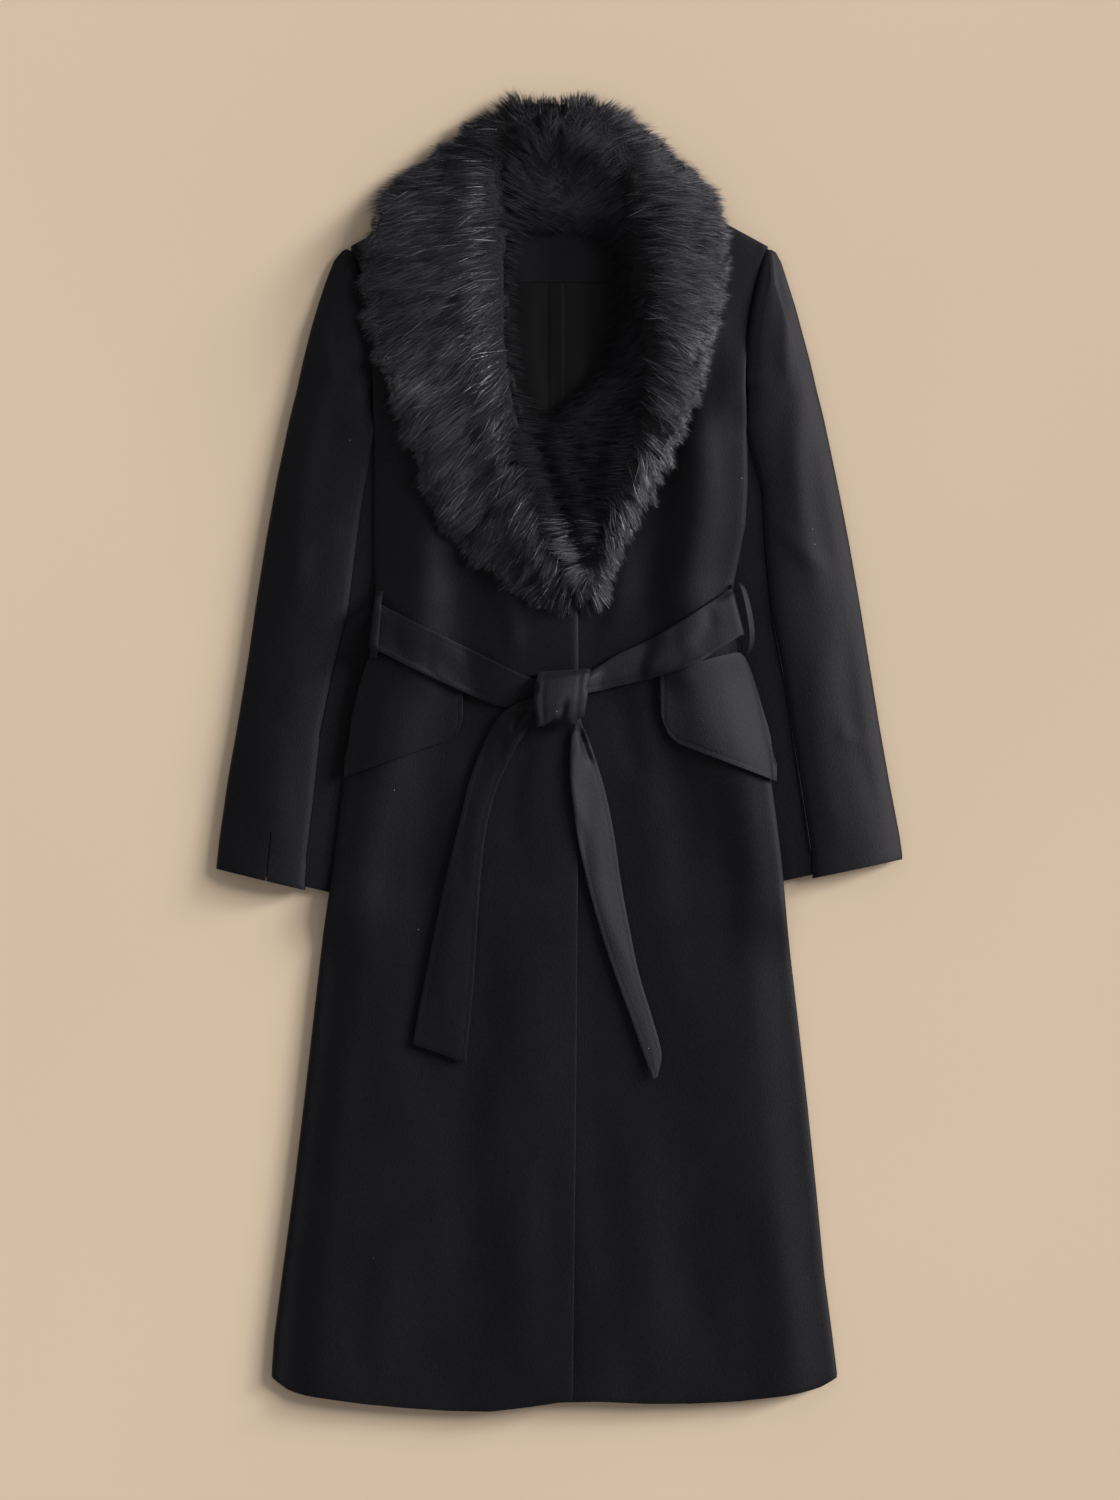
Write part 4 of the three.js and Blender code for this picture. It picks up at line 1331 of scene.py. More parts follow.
@dataclass
class Belt:
    """The belt but for its knot: a run behind the back, two runs to the knot, and two ends from it."""

    back_in: float = 4 * MM
    run_right: tuple[Station, ...] = (
        (-171, 140, -176, 97),
        (-140, 123, -147, 82),
        (-105, 106, -113, 66),
        (-70, 89, -80, 51),
        (-46, 77, -54, 42),
        (-30, 70, -34, 42),
        (-12, 65, -12, 44),
    )
    run_left: tuple[Station, ...] = (
        (159, 152, 170, 109),
        (132, 134, 134, 86),
        (104, 116, 104, 74),
        (76, 101, 76, 66),
        (54, 91, 54, 61),
        (38, 81, 38, 57),
        (22, 72, 22, 54),
        (8, 68, 8, 52),
    )
    tail_right: tuple[Station, ...] = (
        (-8, 55, -6, 42),
        (-20, 52, -14, 38),
        (-32, 48, -22, 33),
        (-44, 43, -28, 26),
        (-55, 35, -34, 15),
        (-64, 22, -42, 2),
        (-73, 4, -51, -16),
        (-84, -24, -61, -40),
        (-93, -60, -69, -72),
        (-104, -105, -74, -112),
        (-114, -150, -77, -155),
        (-124, -200, -80, -206),
        (-132, -240, -84, -250),
        (-138, -274, -88, -292),
    )
    run_creases: tuple[Crease, ...] = (
        Crease((40, 66), (118, 104), 1.5, 7),
        Crease((128, 100), (142, 128), -1.4, 6),
    )
    tail_right_creases: tuple[Crease, ...] = (
        Crease((-26, 43), (-44, 18), -2.6, 3.2),
        Crease((-30, 28), (-52, -8), 1.2, 4),
        Crease((-70, -10), (-92, -120), -0.8, 6),
        Crease((-96, -150), (-104, -260), 0.6, 8),
    )
    tail_left_creases: tuple[Crease, ...] = (
        Crease((19, 24), (29, -10), -2.4, 3.0),
        Crease((14, 2), (22, -70), 1.3, 5),
        Crease((32, -60), (62, -200), 0.8, 7),
    )
    tail_left: tuple[Station, ...] = (
        (11, 42, 20, 42),
        (13, 26, 20, 28),
        (10, 10, 29, 6),
        (9, -24, 42, -36),
        (14, -66, 51, -80),
        (22, -108, 57, -122),
        (33, -152, 65, -165),
        (48, -200, 74, -208),
        (66, -250, 86, -248),
        (80, -290, 95, -282),
        (86, -308, 92, -304),
    )

    def build(self, room: Workroom, bed: Bed) -> None:
        """Makes the whole belt from the coat up.

        Args:
            room: Where the finishes are kept.
            bed: What is laid so far.
        """
        # The belt's left pieces carry painted light, its right pieces painted shade.
        runs = (
            Strap("belt_run_right", self.run_right, 60, wrap=Hand.RIGHT),
            Strap(
                "belt_run_left",
                self.run_left,
                60,
                look=PaintedLightWool(),
                wrap=Hand.LEFT,
                creases=self.run_creases,
            ),
        )
        tails = (
            Strap("belt_tail_right", self.tail_right, 110, creases=self.tail_right_creases),
            Strap(
                "belt_tail_left",
                self.tail_left,
                110,
                look=PaintedStrongLightWool(),
                creases=self.tail_left_creases,
            ),
        )
        for layer in (runs, tails):
            for face in [strap.build(room, bed) for strap in layer]:
                bed.lay(face)
        self.behind(room)

    def behind(self, room: Workroom) -> None:
        """Makes the belt's run behind the back."""
        low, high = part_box("belt_back")
        solid = Solid("belt_back", Facing.DOWN)
        across = np.linspace(low.x + self.back_in, high.x - self.back_in, 90)
        x, y = np.meshgrid(across, np.linspace(low.y, high.y, 12))
        z = soften(solid.heights(x, y), 2)
        points = np.stack([x, y, z], axis=-1)
        rests_on = ("back_cloth",)
        piece = Cloth("belt_back_cloth", points, BELT_CLOTH, facing=Facing.DOWN, rests_on=rests_on)
        piece.build(room, ("belt_back",))


@dataclass
class Knot:
    """The turn of the belt over its crossing, which goes back under it at the top and at the bottom."""

    thickness: float = BELT_CLOTH
    left_edge: tuple[Pair, ...] = (
        (-20.2, 74.7),
        (-23.6, 62),
        (-24.2, 48),
        (-23.2, 35),
        (-21.6, 22.6),
    )
    right_edge: tuple[Pair, ...] = (
        (28.7, 77.6),
        (27.6, 66),
        (26.0, 54),
        (24.4, 43),
        (22.6, 32.0),
    )
    rows: int = 40
    columns: int = 33
    stitched_at: Pair = (0.16, 0.82)
    turn: tuple[Pair, ...] = ((0.2, 1.2), (0.9, 3.2), (2.2, 5.6), (4.2, 7.6))

    def visible(self) -> tuple[Array, Array, Array, Array]:
        """The plan of the part that shows, with the share across and down of each point."""
        left = through(np.array(self.left_edge), self.rows)
        right = through(np.array(self.right_edge), self.rows)
        u, v = np.meshgrid(np.linspace(0, 1, self.columns), np.linspace(0, 1, self.rows))
        plan = mix(left[:, None], right[:, None], u[..., None])
        lower = smooth((v - 0.55) / 0.45)
        plan[..., 1] += lower * 3.4 * hump(u, 0.36, 0.13)
        plan[..., 1] -= lower * 4.6 * hump(u, 0.74, 0.12)
        return plan[..., 0] * MM, plan[..., 1] * MM, u, v

    def build(self, room: Workroom, bed: Bed) -> None:
        """Makes the knot's wrap and its stitches.

        Args:
            room: Where the finishes are kept.
            bed: What is laid so far.
        """
        x, y, u, v = self.visible()
        beneath = soften(bed.heights(x, y, 2 * MM), 2) + self.thickness + 0.3 * MM
        z = soften(np.maximum(beneath, Solid("belt_knot").heights(x, y)), 3) / MM
        z += 1.6 * np.sin(math.pi * u) ** 0.6 * np.sin(math.pi * v) ** 0.5
        z -= 2.2 * hump(u - 0.56 + 0.16 * (v - 0.7), 0, 0.08) * smooth((v - 0.45) / 0.3)
        left_stitches, right_stitches = self.stitched_at
        z += 0.5 * hump(u, 0.06, 0.07) - 0.4 * hump(u, left_stitches, 0.05)
        z += 0.4 * hump(u, 0.93, 0.06) - 0.45 * hump(u, right_stitches, 0.04)
        z -= 1.2 * (np.clip(1 - v * 9, 0, 1) ** 2 + np.clip(1 - (1 - v) * 9, 0, 1) ** 2)
        face = np.stack([x, y, z * MM], axis=-1)
        top = [face[0] + np.array([0, -inward, -fall]) * MM for inward, fall in self.turn]
        low = [face[-1] + np.array([0, inward, -fall]) * MM for inward, fall in self.turn]
        points = np.concatenate([np.stack(top[::-1]), face, np.stack(low)])
        rests_on = ("belt_run_right_cloth", "belt_run_left_cloth")
        # The knot's wool carries painted light.
        wrap = Cloth("belt_knot_cloth", points[::-1], self.thickness, look=PaintedLightWool(), rests_on=rests_on)
        wrap.round_edge = BELT_EDGE
        wrap.build(room, ("belt_knot",))
        stitched = [face[1:-3, round(share * (self.columns - 1))] for share in self.stitched_at]
        Stitching().rows("belt_knot_stitches", "belt_knot_cloth", stitched, room)
        bed.lay(points[::-1])


@dataclass
class Flap:
    """A pocket flap, topstitched along its free edges."""

    hand: Hand
    thickness: float = 3.0 * MM
    steps: tuple[float, ...] = (0.0, 1.0, 2.4, 4.0, 5.0, 6.0, 8.0)
    stitch_row: int = 4
    under_belt: float = 9 * MM

    def build(self, room: Workroom, bed: Bed) -> None:
        """Makes the flap and its stitches.

        Args:
            room: Where the finishes are kept.
            bed: What is laid so far.
        """
        node = f"pocket_flap_{self.hand.value}"
        solid = Solid(node)
        levels, least, most = solid.reach(0, MM)
        steps = np.array(self.steps) * MM
        inner = np.linspace(solid.low[0] + steps[-1], solid.high[0] - steps[-1], 34)[1:-1]
        across = np.concatenate([solid.low[0] + steps, inner, (solid.high[0] - steps)[::-1]])
        low, high = np.interp(across, levels, least), np.interp(across, levels, most)
        high = soften(high[None], 6)[0] + self.under_belt
        far = np.linspace(0, 1, 24)[1:, None]
        y = np.concatenate([low + steps[:, None], mix(low + steps[-1], high, far)])
        x = np.broadcast_to(across, y.shape).copy()
        bed_z = soften(bed.heights(x, y, 4 * MM), 3)
        bulge = np.minimum((y - low) / 0.03, 1)
        edge = np.minimum(y - low, np.minimum(x - across[0], across[-1] - x))
        groove = hump(edge, steps[self.stitch_row], 0.8 * MM)
        z = bed_z + self.thickness + 0.5 * MM + 0.9 * MM * np.sin(math.pi * 0.5 * bulge)
        z = z - 0.15 * MM * groove
        points = np.stack([x, y, z], axis=-1)
        bed.lay(points)
        # The left flap carries stronger painted light, the right flap painted shade.
        look = PaintedShadeWool() if self.hand is Hand.RIGHT else PaintedStrongLightWool()
        rests_on = (f"front_{self.hand.value}_cloth",)
        Cloth(f"{node}_cloth", points, self.thickness, look=look, rests_on=rests_on).build(room, (node,))
        row = self.stitch_row
        lower = points[row, row:-row]
        end = points[row:-1, -1 - row if self.hand is Hand.RIGHT else row]
        Stitching().rows(f"{node}_stitches", f"{node}_cloth", [lower, end], room)


@dataclass
class Loops:
    """The two belt loops at the side folds: the right one lies on the belt, the left one stands out."""

    width: float = 7.0
    thickness: float = 1.8 * MM
    rows: int = 40
    columns: int = 7

    def build(self, room: Workroom, bed: Bed) -> None:
        """Makes both loops."""
        self.lying(room, bed)
        self.standing(room)

    def lying(self, room: Workroom, bed: Bed) -> None:
        """Makes the right loop, over the belt just inside the fold."""
        low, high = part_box("belt_loop_right")
        across = np.linspace(-0.5, 0.5, self.columns)
        y = np.linspace(high.y, low.y, self.rows)
        middle = mix(-169.5, -174.5, np.linspace(0, 1, self.rows))
        x = (middle[:, None] + across * self.width) * MM
        y = np.broadcast_to(y[:, None], x.shape).copy()
        z = soften(bed.heights(x, y, 3 * MM), 3) + self.thickness + 0.5 * MM
        z += 0.5 * MM * np.cos(math.pi * across)
        self.sew(Hand.RIGHT, np.stack([x, y, z], axis=-1), room)

    def standing(self, room: Workroom) -> None:
        """Makes the left loop, an arc that stands out from the fold."""
        low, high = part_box("belt_loop_left")
        angle = np.linspace(0, math.pi, self.rows)
        y = (low.y + high.y) / 2 + (high.y - low.y) / 2 * 0.96 * np.cos(angle)
        fold = mix(0.1625, 0.170, smooth((high.y - y) / (high.y - low.y)))
        out = np.sin(angle) ** 0.6
        across = np.linspace(0, 1, self.columns)
        x = fold[:, None] + 0.9 * MM + 8.5 * MM * out[:, None] + across * (1.2 + 4.2 * out[:, None]) * MM
        z = low.z + (6.0 + 3.4 * out[:, None] - across * 4.6) * MM + 1.2 * MM
        self.sew(Hand.LEFT, np.stack([x, np.broadcast_to(y[:, None], x.shape), z], axis=-1), room)

    def sew(self, hand: Hand, points: Array, room: Workroom) -> None:
        """Makes a loop through its points, sewn to its front."""
        name, owner = f"belt_loop_{hand.value}", f"front_{hand.value}_cloth"
        shape = points if Strap.faces_up(points) else points[:, ::-1]
        Cloth(f"{name}_cloth", shape, self.thickness, sewn_to=owner).build(room, (name,))


@dataclass
class Chart:
    """A square grid over the plan of the collar, whose fields can be read between its cells."""

    low: Array
    high: Array
    cell: float = 2.5 * MM

    def __post_init__(self) -> None:
        """Places the grid's points."""
        counts = np.ceil((self.high - self.low) / self.cell).astype(int) + 1
        self.x, self.y = np.meshgrid(*(self.low[k] + np.arange(counts[k]) * self.cell for k in (0, 1)))

    def covered(self, solid: Solid) -> Array:
        """Which points lie under a solid's faces."""
        down = Vector((0, 0, -1))
        starts = [Vector((x, y, ABOVE_ALL)) for x, y in zip(self.x.flat, self.y.flat)]
        hit = [solid.tree.ray_cast(start, down)[0] is not None for start in starts]
        return np.array(hit).reshape(self.x.shape)

    def distances(self, held: Array) -> Array:
        """How far each point that is held lies from the nearest one that isn't."""
        edge = np.argwhere(~held & np.logical_or.reduce(beside(held)))
        near = np.zeros(held.shape)
        for j, i in np.argwhere(held):
            near[j, i] = math.sqrt(((edge - (j, i)) ** 2).sum(axis=1).min()) * self.cell
        return near

    def read(self, values: Array, plan: Array) -> Array:
        """Reads a field between its points.

        Args:
            values: The field, one value at each point of the grid.
            plan: The X and Y of each place to read.

        Returns:
            The field's value at each place.
        """
        at = (plan - self.low) / self.cell
        first = np.clip(at.astype(int), 0, np.array(values.shape[::-1]) - 2)
        t = np.clip(at - first, 0, 1)
        i, j = first[..., 0], first[..., 1]
        low = mix(values[j, i], values[j, i + 1], t[..., 0])
        high = mix(values[j + 1, i], values[j + 1, i + 1], t[..., 0])
        return mix(low, high, t[..., 1])


class CollarShape:
    """The two halves of the collar, measured together so that hair runs on over their joint.

    The fur closes over a bridge between the halves at their foot. It is given in millimetres by its middle
    and its reach.
    """

    bridge = ((19.0, 164.0), (11.0, 30.0))
    margin = 0.03

    def __init__(self) -> None:
        """Measures both halves."""
        above = {hand: Solid(f"fur_collar_{hand.value}") for hand in Hand}
        below = {hand: Solid(f"fur_collar_{hand.value}", Facing.DOWN) for hand in Hand}
        low = np.min([solid.low[:2] for solid in above.values()], axis=0) - self.margin
        high = np.max([solid.high[:2] for solid in above.values()], axis=0) + self.margin
        self.chart = Chart(low, high)
        chart = self.chart
        self.held = {hand: chart.covered(above[hand]) for hand in Hand}
        self.held[Hand.RIGHT] |= self.on_bridge(0, 0, 0)
        self.over = {hand: above[hand].heights(chart.x, chart.y) for hand in Hand}
        self.under = {hand: below[hand].heights(chart.x, chart.y) for hand in Hand}
        either = self.closed(self.held[Hand.RIGHT] | self.held[Hand.LEFT])
        right = np.where(self.held[Hand.RIGHT] | ~either, self.over[Hand.RIGHT], 0)
        left = np.where(self.held[Hand.LEFT] | ~either, self.over[Hand.LEFT], 0)
        top = np.where(either, np.maximum(right, left), np.minimum(right, left))
        raised = mix(top, self.filled(top, 6), 0.8)
        self.top = soften(np.where(self.on_bridge(12, 8, 10), raised, top), 3)
        self.depth = chart.distances(either) - chart.distances(~either)

    def on_bridge(self, up: float, wider: float, taller: float) -> Array:
        """Which points lie on the bridge, or on a larger one that is moved up by some millimetres."""
        (x, y), (wide, tall) = self.bridge
        off_x, off_y = self.chart.x / MM - x, self.chart.y / MM - y - up
        return np.hypot(off_x / (wide + wider), off_y / (tall + taller)) < 1

    @staticmethod
    def filled(heights: Array, reach: int) -> Array:
        """Raises each height to the greatest one near it."""
        for _ in range(reach):
            heights = np.maximum.reduce([*beside(heights), heights])
        return heights

    @staticmethod
    def closed(held: Array, reach: int = 2) -> Array:
        """Fills the slot between the halves, by growing what is held and drawing it in again."""
        for grow in (True, False):
            for _ in range(reach):
                spread = held if grow else ~held
                near = np.logical_or.reduce([*beside(spread), spread])
                held = near if grow else ~near
        return held


@dataclass
class Growth:
    """The roots of one half's hairs, with the lock and the wisp that each hair gathers to."""

    root: Array
    locks: Array
    wisps: Array
    direction: Array = field(init=False)
    distance: Array = field(init=False)
    share: Array = field(init=False)
    inner: Array = field(init=False)
    calm: Array = field(init=False)
    ends: Array = field(init=False)

    def __post_init__(self) -> None:
        """Finds each hair's lock and wisp."""
        self.count = len(self.root)
        self.lock, self.wisp = self.nearest(self.locks), self.nearest(self.wisps)

    def nearest(self, centres: Array) -> Array:
        """The index of the nearest centre to each root."""
        tree = KDTree(len(centres))
        for k, centre in enumerate(centres):
            tree.insert((*centre, 0), k)
        tree.balance()
        return np.array([tree.find((*point, 0))[1] for point in self.root])

    def near(self, x: float, y: float, reach: float) -> Array:
        """How near each root lies to a place, from 1 there to nothing beyond its reach, in millimetres."""
        apart = ((self.root - np.array([x, y]) * MM) ** 2).sum(axis=1)
        return np.exp(-apart / (reach * MM) ** 2)


@dataclass
class FurHalf:
    """Half of the fur collar: wool beneath, a dense under-fur, and long hairs combed out from the roll.

    The roll, the foot, the tufts and the painted glints are in millimetres. A tuft is a place and how much
    further its hairs reach. A painted glint is a place, its reach and how many more pale guard hairs it has
    there, as a painted highlight. The painted tones scale the hairs' shades near the roll and out at the
    rim: painted shade below 1 and painted light above.
    """

    hand: Hand
    roll: tuple[Pair, ...]
    hairs: int
    seed: int
    tufts: tuple[Triple, ...] = ()
    painted_tones: Pair = (1.0, 1.0)
    painted_glints: tuple[tuple[float, float, float, float], ...] = ()
    pieces: int = 2
    foot: Pair = (13.0, 134.0)
    mat_share: float = 0.52
    mat_in: float = 8 * MM
    mat_up: float = 1.9 * MM
    wool_in: float = 5 * MM
    wool_up: float = 1.7 * MM
    wool_thickness: float = 1.6 * MM
    wool_width: float = 0.19
    edge_in: float = 4 * MM
    over_edge: float = 5 * MM
    proud: float = 3.5 * MM
    hair_length: float = 44 * MM
    hair_width: float = 0.3 * MM
    hair_turn: float = 0.09
    lock_spacing: float = 9 * MM
    lock_turn: float = 0.13
    wisp_spacing: float = 3.5 * MM
    wisp_turn: float = 0.1
    parting: float = 6 * MM
    parting_wave: float = 3.5 * MM
    calm_beyond: float = 16 * MM
    tuft_reach: float = 13.0
    deep_from: float = 0.2
    levels: Triple = (0.0, 0.5, 1.0)
    widths: Pair = (1.0, 0.85)

    @property
    def node(self) -> str:
        """The frame's node of this half."""
        return f"fur_collar_{self.hand.value}"

    def flow(self, plan: Array, draw: np.random.Generator) -> tuple[Array, Array, Array]:
        """Which way the hair runs at each point.

        Args:
            plan: The X and Y of each point.
            draw: The source of random numbers.

        Returns:
            The direction, the distance out from the roll, which is negative on its inner side, and the
            share of the way down the roll.
        """
        line = through(np.array(self.roll, float) * MM, 160)
        run = unit(np.gradient(line, axis=0))
        out = np.stack([run[:, 1], -run[:, 0]], axis=1) * -self.hand.outward
        nearest = np.empty(len(plan), int)
        at_once = 4000
        for start in range(0, len(plan), at_once):
            part = slice(start, start + at_once)
            nearest[part] = ((plan[part][:, None] - line[None]) ** 2).sum(axis=2).argmin(axis=1)
        distance = ((plan - line[nearest]) * out[nearest]).sum(axis=1)
        share = nearest / (len(line) - 1)
        distance = distance + draw.normal(0, 4 * MM, len(plan))
        sign = np.where(distance > -self.parting, 1.0, -1.0)
        outer_sweep = mix(0.02, 0.75, smooth((share - 0.25) / 0.6))
        sweep = np.where(sign > 0, outer_sweep, mix(-0.25, 0.45, smooth((share - 0.14) / 0.2)))
        return unit(out[nearest] * sign[:, None] + run[nearest] * sweep[:, None]), distance, share

    def roots(self, draw: np.random.Generator, shape: CollarShape) -> Array:
        """Random places where hairs grow, in the half's own plan."""
        size = shape.chart.high - shape.chart.low
        held = shape.chart.distances(~shape.held[self.hand])
        found: list[Array] = []
        while sum(map(len, found)) < self.hairs:
            plan = draw.uniform(0, 1, (self.hairs, 2)) * size + shape.chart.low
            own = shape.chart.read(held, plan) < shape.chart.cell
            found.append(plan[own & (shape.chart.read(shape.depth, plan) > self.edge_in)])
        return np.concatenate(found)[:self.hairs]

    @staticmethod
    def centres(draw: np.random.Generator, shape: CollarShape, spacing: float) -> Array:
        """The places that hairs gather to, on a shaken square grid."""
        size = shape.chart.high - shape.chart.low
        i, j = np.meshgrid(np.arange(size[0] / spacing), np.arange(size[1] / spacing))
        plan = np.stack([i.ravel(), j.ravel()], axis=1) * spacing
        return plan + draw.uniform(-0.5, 0.5, plan.shape) * spacing + shape.chart.low

    def strands(self, shape: CollarShape) -> tuple[Array, Array, Array, Array]:
        """Works out every hair.

        Args:
            shape: The measured collar.

        Returns:
            The points of each hair's ribbon, each hair's shade, whether it lies deep on the inner side in
            painted shade, and whether it is one of the few guard hairs.
        """
        draw = np.random.default_rng(self.seed)
        root = self.roots(draw, shape)
        locks, wisps = (self.centres(draw, shape, gap) for gap in (self.lock_spacing, self.wisp_spacing))
        growth = Growth(root, locks, wisps)
        self.comb(growth, draw)
        line = self.lines(growth, self.lengths(growth, shape, draw), shape, draw)
        shade, deep, stray = self.shades(growth, shape, draw)
        return self.ribbons(line, stray, draw), shade, deep, stray

    def comb(self, growth: Growth, draw: np.random.Generator) -> None:
        """Settles how each hair lies: out from the roll, in locks, and fanned out at the foot.

        Args:
            growth: The hairs' roots, which are given their direction and their place on the roll.
            draw: The source of random numbers.
        """
        root, lock, count = growth.root, growth.lock, growth.count
        aside = draw.normal(0, self.parting_wave, (len(growth.locks), 2))[lock]
        direction, growth.distance, growth.share = self.flow(root + aside, draw)
        growth.inner = growth.distance < -self.parting
        turn = draw.normal(0, self.lock_turn, len(growth.locks))[lock]
        turn = turn + draw.normal(0, self.wisp_turn, len(growth.wisps))[growth.wisp]
        growth.calm = np.where(growth.inner & (np.abs(root[:, 0]) > self.calm_beyond), 0.4, 1.0)
        turn = (turn + draw.normal(0, self.hair_turn, count)) * growth.calm
        (x, y), c, s = direction.T, np.cos(turn), np.sin(turn)
        direction = np.stack([x * c - y * s, x * s + y * c], axis=1)
        growth.ends = smooth((self.foot[1] * MM + 0.052 - root[:, 1]) / 0.03)
        fan = unit(root - np.array(self.foot) * MM - [0, 0.05])
        growth.direction = unit(mix(direction, fan, 0.85 * growth.ends[:, None]))

    def lengths(self, growth: Growth, shape: CollarShape, draw: np.random.Generator) -> Array:
        """How long each hair is, cut back where its tip would pass the outline too far.

        Args:
            growth: The combed hairs.
            shape: The measured collar.
            draw: The source of random numbers.

        Returns:
            The lengths in metres.
        """
        root, lock, count = growth.root, growth.lock, growth.count
        length = self.hair_length * draw.normal(1, 0.1, len(growth.locks))[lock]
        length = length * draw.uniform(0.6, 1.1, count)
        length *= np.where(growth.inner, 0.7, 1.0) * mix(1.0, 0.75, smooth(growth.share * 3 - 2))
        allowed = self.over_edge * draw.uniform(-0.5, 1, len(growth.locks))[lock]
        by_wisp = 5 * MM * draw.uniform(-1, 0.8, len(growth.wisps))[growth.wisp]
        allowed += by_wisp + 1.5 * MM * draw.normal(0, 1, count)
        allowed += growth.ends * draw.uniform(0, 8 * MM, count)
        allowed += np.where(growth.inner, draw.uniform(0, 9 * MM, count), 0)
        for x, y, extra in self.tufts:
            allowed += growth.near(x, y, self.tuft_reach) * extra * MM * draw.uniform(0.3, 1.2, count)
        for _ in range(3):
            beyond = -shape.chart.read(shape.depth, root + growth.direction * length[:, None]) - allowed
            length *= 1 - np.clip(beyond / length, 0, 0.5)
        return length

    def lines(self, growth: Growth, length: Array, shape: CollarShape, draw: np.random.Generator) -> Array:
        """Works out the curve of each hair, from its root in the under-fur to its tip over the fur.

        Args:
            growth: The combed hairs.
            length: The hairs' lengths.
            shape: The measured collar.
            draw: The source of random numbers.

        Returns:
            The points of each hair at the levels.
        """
        chart, root, count = shape.chart, growth.root, growth.count
        run = growth.direction
        side = np.stack([-run[:, 1], run[:, 0]], axis=1)
        to_lock, to_wisp = growth.locks[growth.lock] - root, growth.wisps[growth.wisp] - root
        pull = (0.3 * to_lock + 0.4 * to_wisp) * growth.calm[:, None]
        bow = draw.normal(0, 0.04, count) * length
        tip = root + run * length[:, None] + pull + side * bow[:, None]
        under = shape.under[self.hand]
        start_z = mix(chart.read(under, root), chart.read(shape.top, root), self.mat_share * 0.9)
        raised = draw.normal(0, 0.9 * MM, len(growth.locks))[growth.lock]
        raised = raised + draw.normal(0, 1.0 * MM, len(growth.wisps))[growth.wisp]
        raised *= growth.calm
        end_z = chart.read(shape.top, tip) + self.proud * draw.uniform(-0.7, 1.0, count) + raised
        beyond = np.clip(-chart.read(shape.depth, tip) / (10 * MM), 0, 1)
        end_z = mix(end_z, np.minimum(end_z, 9 * MM), beyond)
        swell = draw.uniform(0.08, 0.3, count) * length
        line = []
        for level in self.levels:
            plan = root + run * (length * level)[:, None] + pull * level**1.3
            plan += side * (bow * level**2)[:, None]
            z = mix(start_z, end_z, level) + (swell * 0.6 + raised) * 4 * level * (1 - level)
            floor = chart.read(under, plan) + 1 * MM
            z = np.clip(z, floor, np.maximum(chart.read(shape.top, plan) + self.proud * 1.2, floor))
            line.append(np.concatenate([plan, z[:, None]], axis=1))
        return np.stack(line, axis=1)

    def shades(
        self, growth: Growth, shape: CollarShape, draw: np.random.Generator
    ) -> tuple[Array, Array, Array]:
        """Gives each hair its shade with painted light, shade and glints, and picks the deep and guard
        hairs.

        Args:
            growth: The combed hairs.
            shape: The measured collar.
            draw: The source of random numbers.

        Returns:
            The shades, which hairs lie deep on the inner side and get painted shade, and which are guard
            hairs.
        """
        distance, inner, count = growth.distance, growth.inner, growth.count
        rim = shape.chart.read(shape.depth, growth.root)
        # Painted highlights: more pale guard hairs near the roll, the rim and the glints, and lighter hair
        # there.
        painted_glint = 0.7 * hump(distance, 10 * MM, 9 * MM) + hump(rim, 16 * MM, 9 * MM)
        painted_glint *= smooth(growth.share * 4 - 0.4)
        # Painted light and shade: the tones scale each hair's shade from the roll out to the rim.
        painted_tone = mix(*self.painted_tones, smooth((distance - 6 * MM) / (24 * MM)))
        for x, y, reach, amount in self.painted_glints:
            near = growth.near(x, y, reach)
            painted_glint += near * amount
            painted_tone += near * 0.5
        # Pale guard hairs: a few everywhere, and many more where highlights are painted.
        stray = draw.uniform(0, 1, count) < np.where(inner, 0.004, 0.01 + 0.03 * painted_glint)
        up = growth.root[:, 1]
        # Deep inner hairs get painted shade, a darker and duller finish, lighter towards the back neck.
        deep = inner & (up > self.deep_from + draw.uniform(-0.016, 0.024, count))
        painted_deep_shade = draw.uniform(0.1, 0.2, count) + 0.4 * smooth((up - 0.46) / 0.06)
        plain_shade = np.where(deep, painted_deep_shade, draw.uniform(0.08, 0.5, count) * painted_tone)
        return np.where(stray, draw.uniform(0.6, 1.0, count), plain_shade), deep, stray

    def ribbons(self, line: Array, fine: Array, draw: np.random.Generator) -> Array:
        """Gives each hair its width: two points at each level and one at the tip."""
        along = unit(np.gradient(line, axis=1))
        roll = draw.normal(0, 0.7, len(line))[:, None]
        flat = unit(np.cross(along, [0.0, 0.0, 1.0]))
        other = np.cross(flat, along)
        side = flat * np.cos(roll)[..., None] + other * np.sin(roll)[..., None]
        width = self.hair_width * draw.uniform(0.6, 1.25, len(line)) * np.where(fine, 0.7, 1.0)
        points = []
        for k, share in enumerate(self.widths):
            half = side[:, k] * (width * share / 2)[:, None]
            points += [line[:, k] - half, line[:, k] + half]
        return np.stack([*points, line[:, -1]], axis=1)

    def merged_copy(self) -> bmesh.types.BMesh:
        """A copy of the half's solid with its loose triangles joined."""
        copy = bmesh.new()
        copy.from_mesh(bpy.data.objects[self.node].data)
        bmesh.ops.remove_doubles(copy, verts=copy.verts, dist=MERGE_WITHIN)
        return copy

    @staticmethod
    def draw_in(corners: object, shape: CollarShape, margin: float) -> None:
        """Moves the corners near the collar's outline in by up to a margin."""
        chart = shape.chart
        places = np.array([corner.co for corner in corners])
        spare = np.clip(margin - chart.read(shape.depth, places[:, :2]), 0, margin + 2 * MM)
        in_y, in_x = (chart.read(slope, places[:, :2]) for slope in np.gradient(shape.depth, chart.cell))
        for corner, move_x, move_y in zip(corners, in_x * spare, in_y * spare):
            corner.co.x += move_x
            corner.co.y += move_y

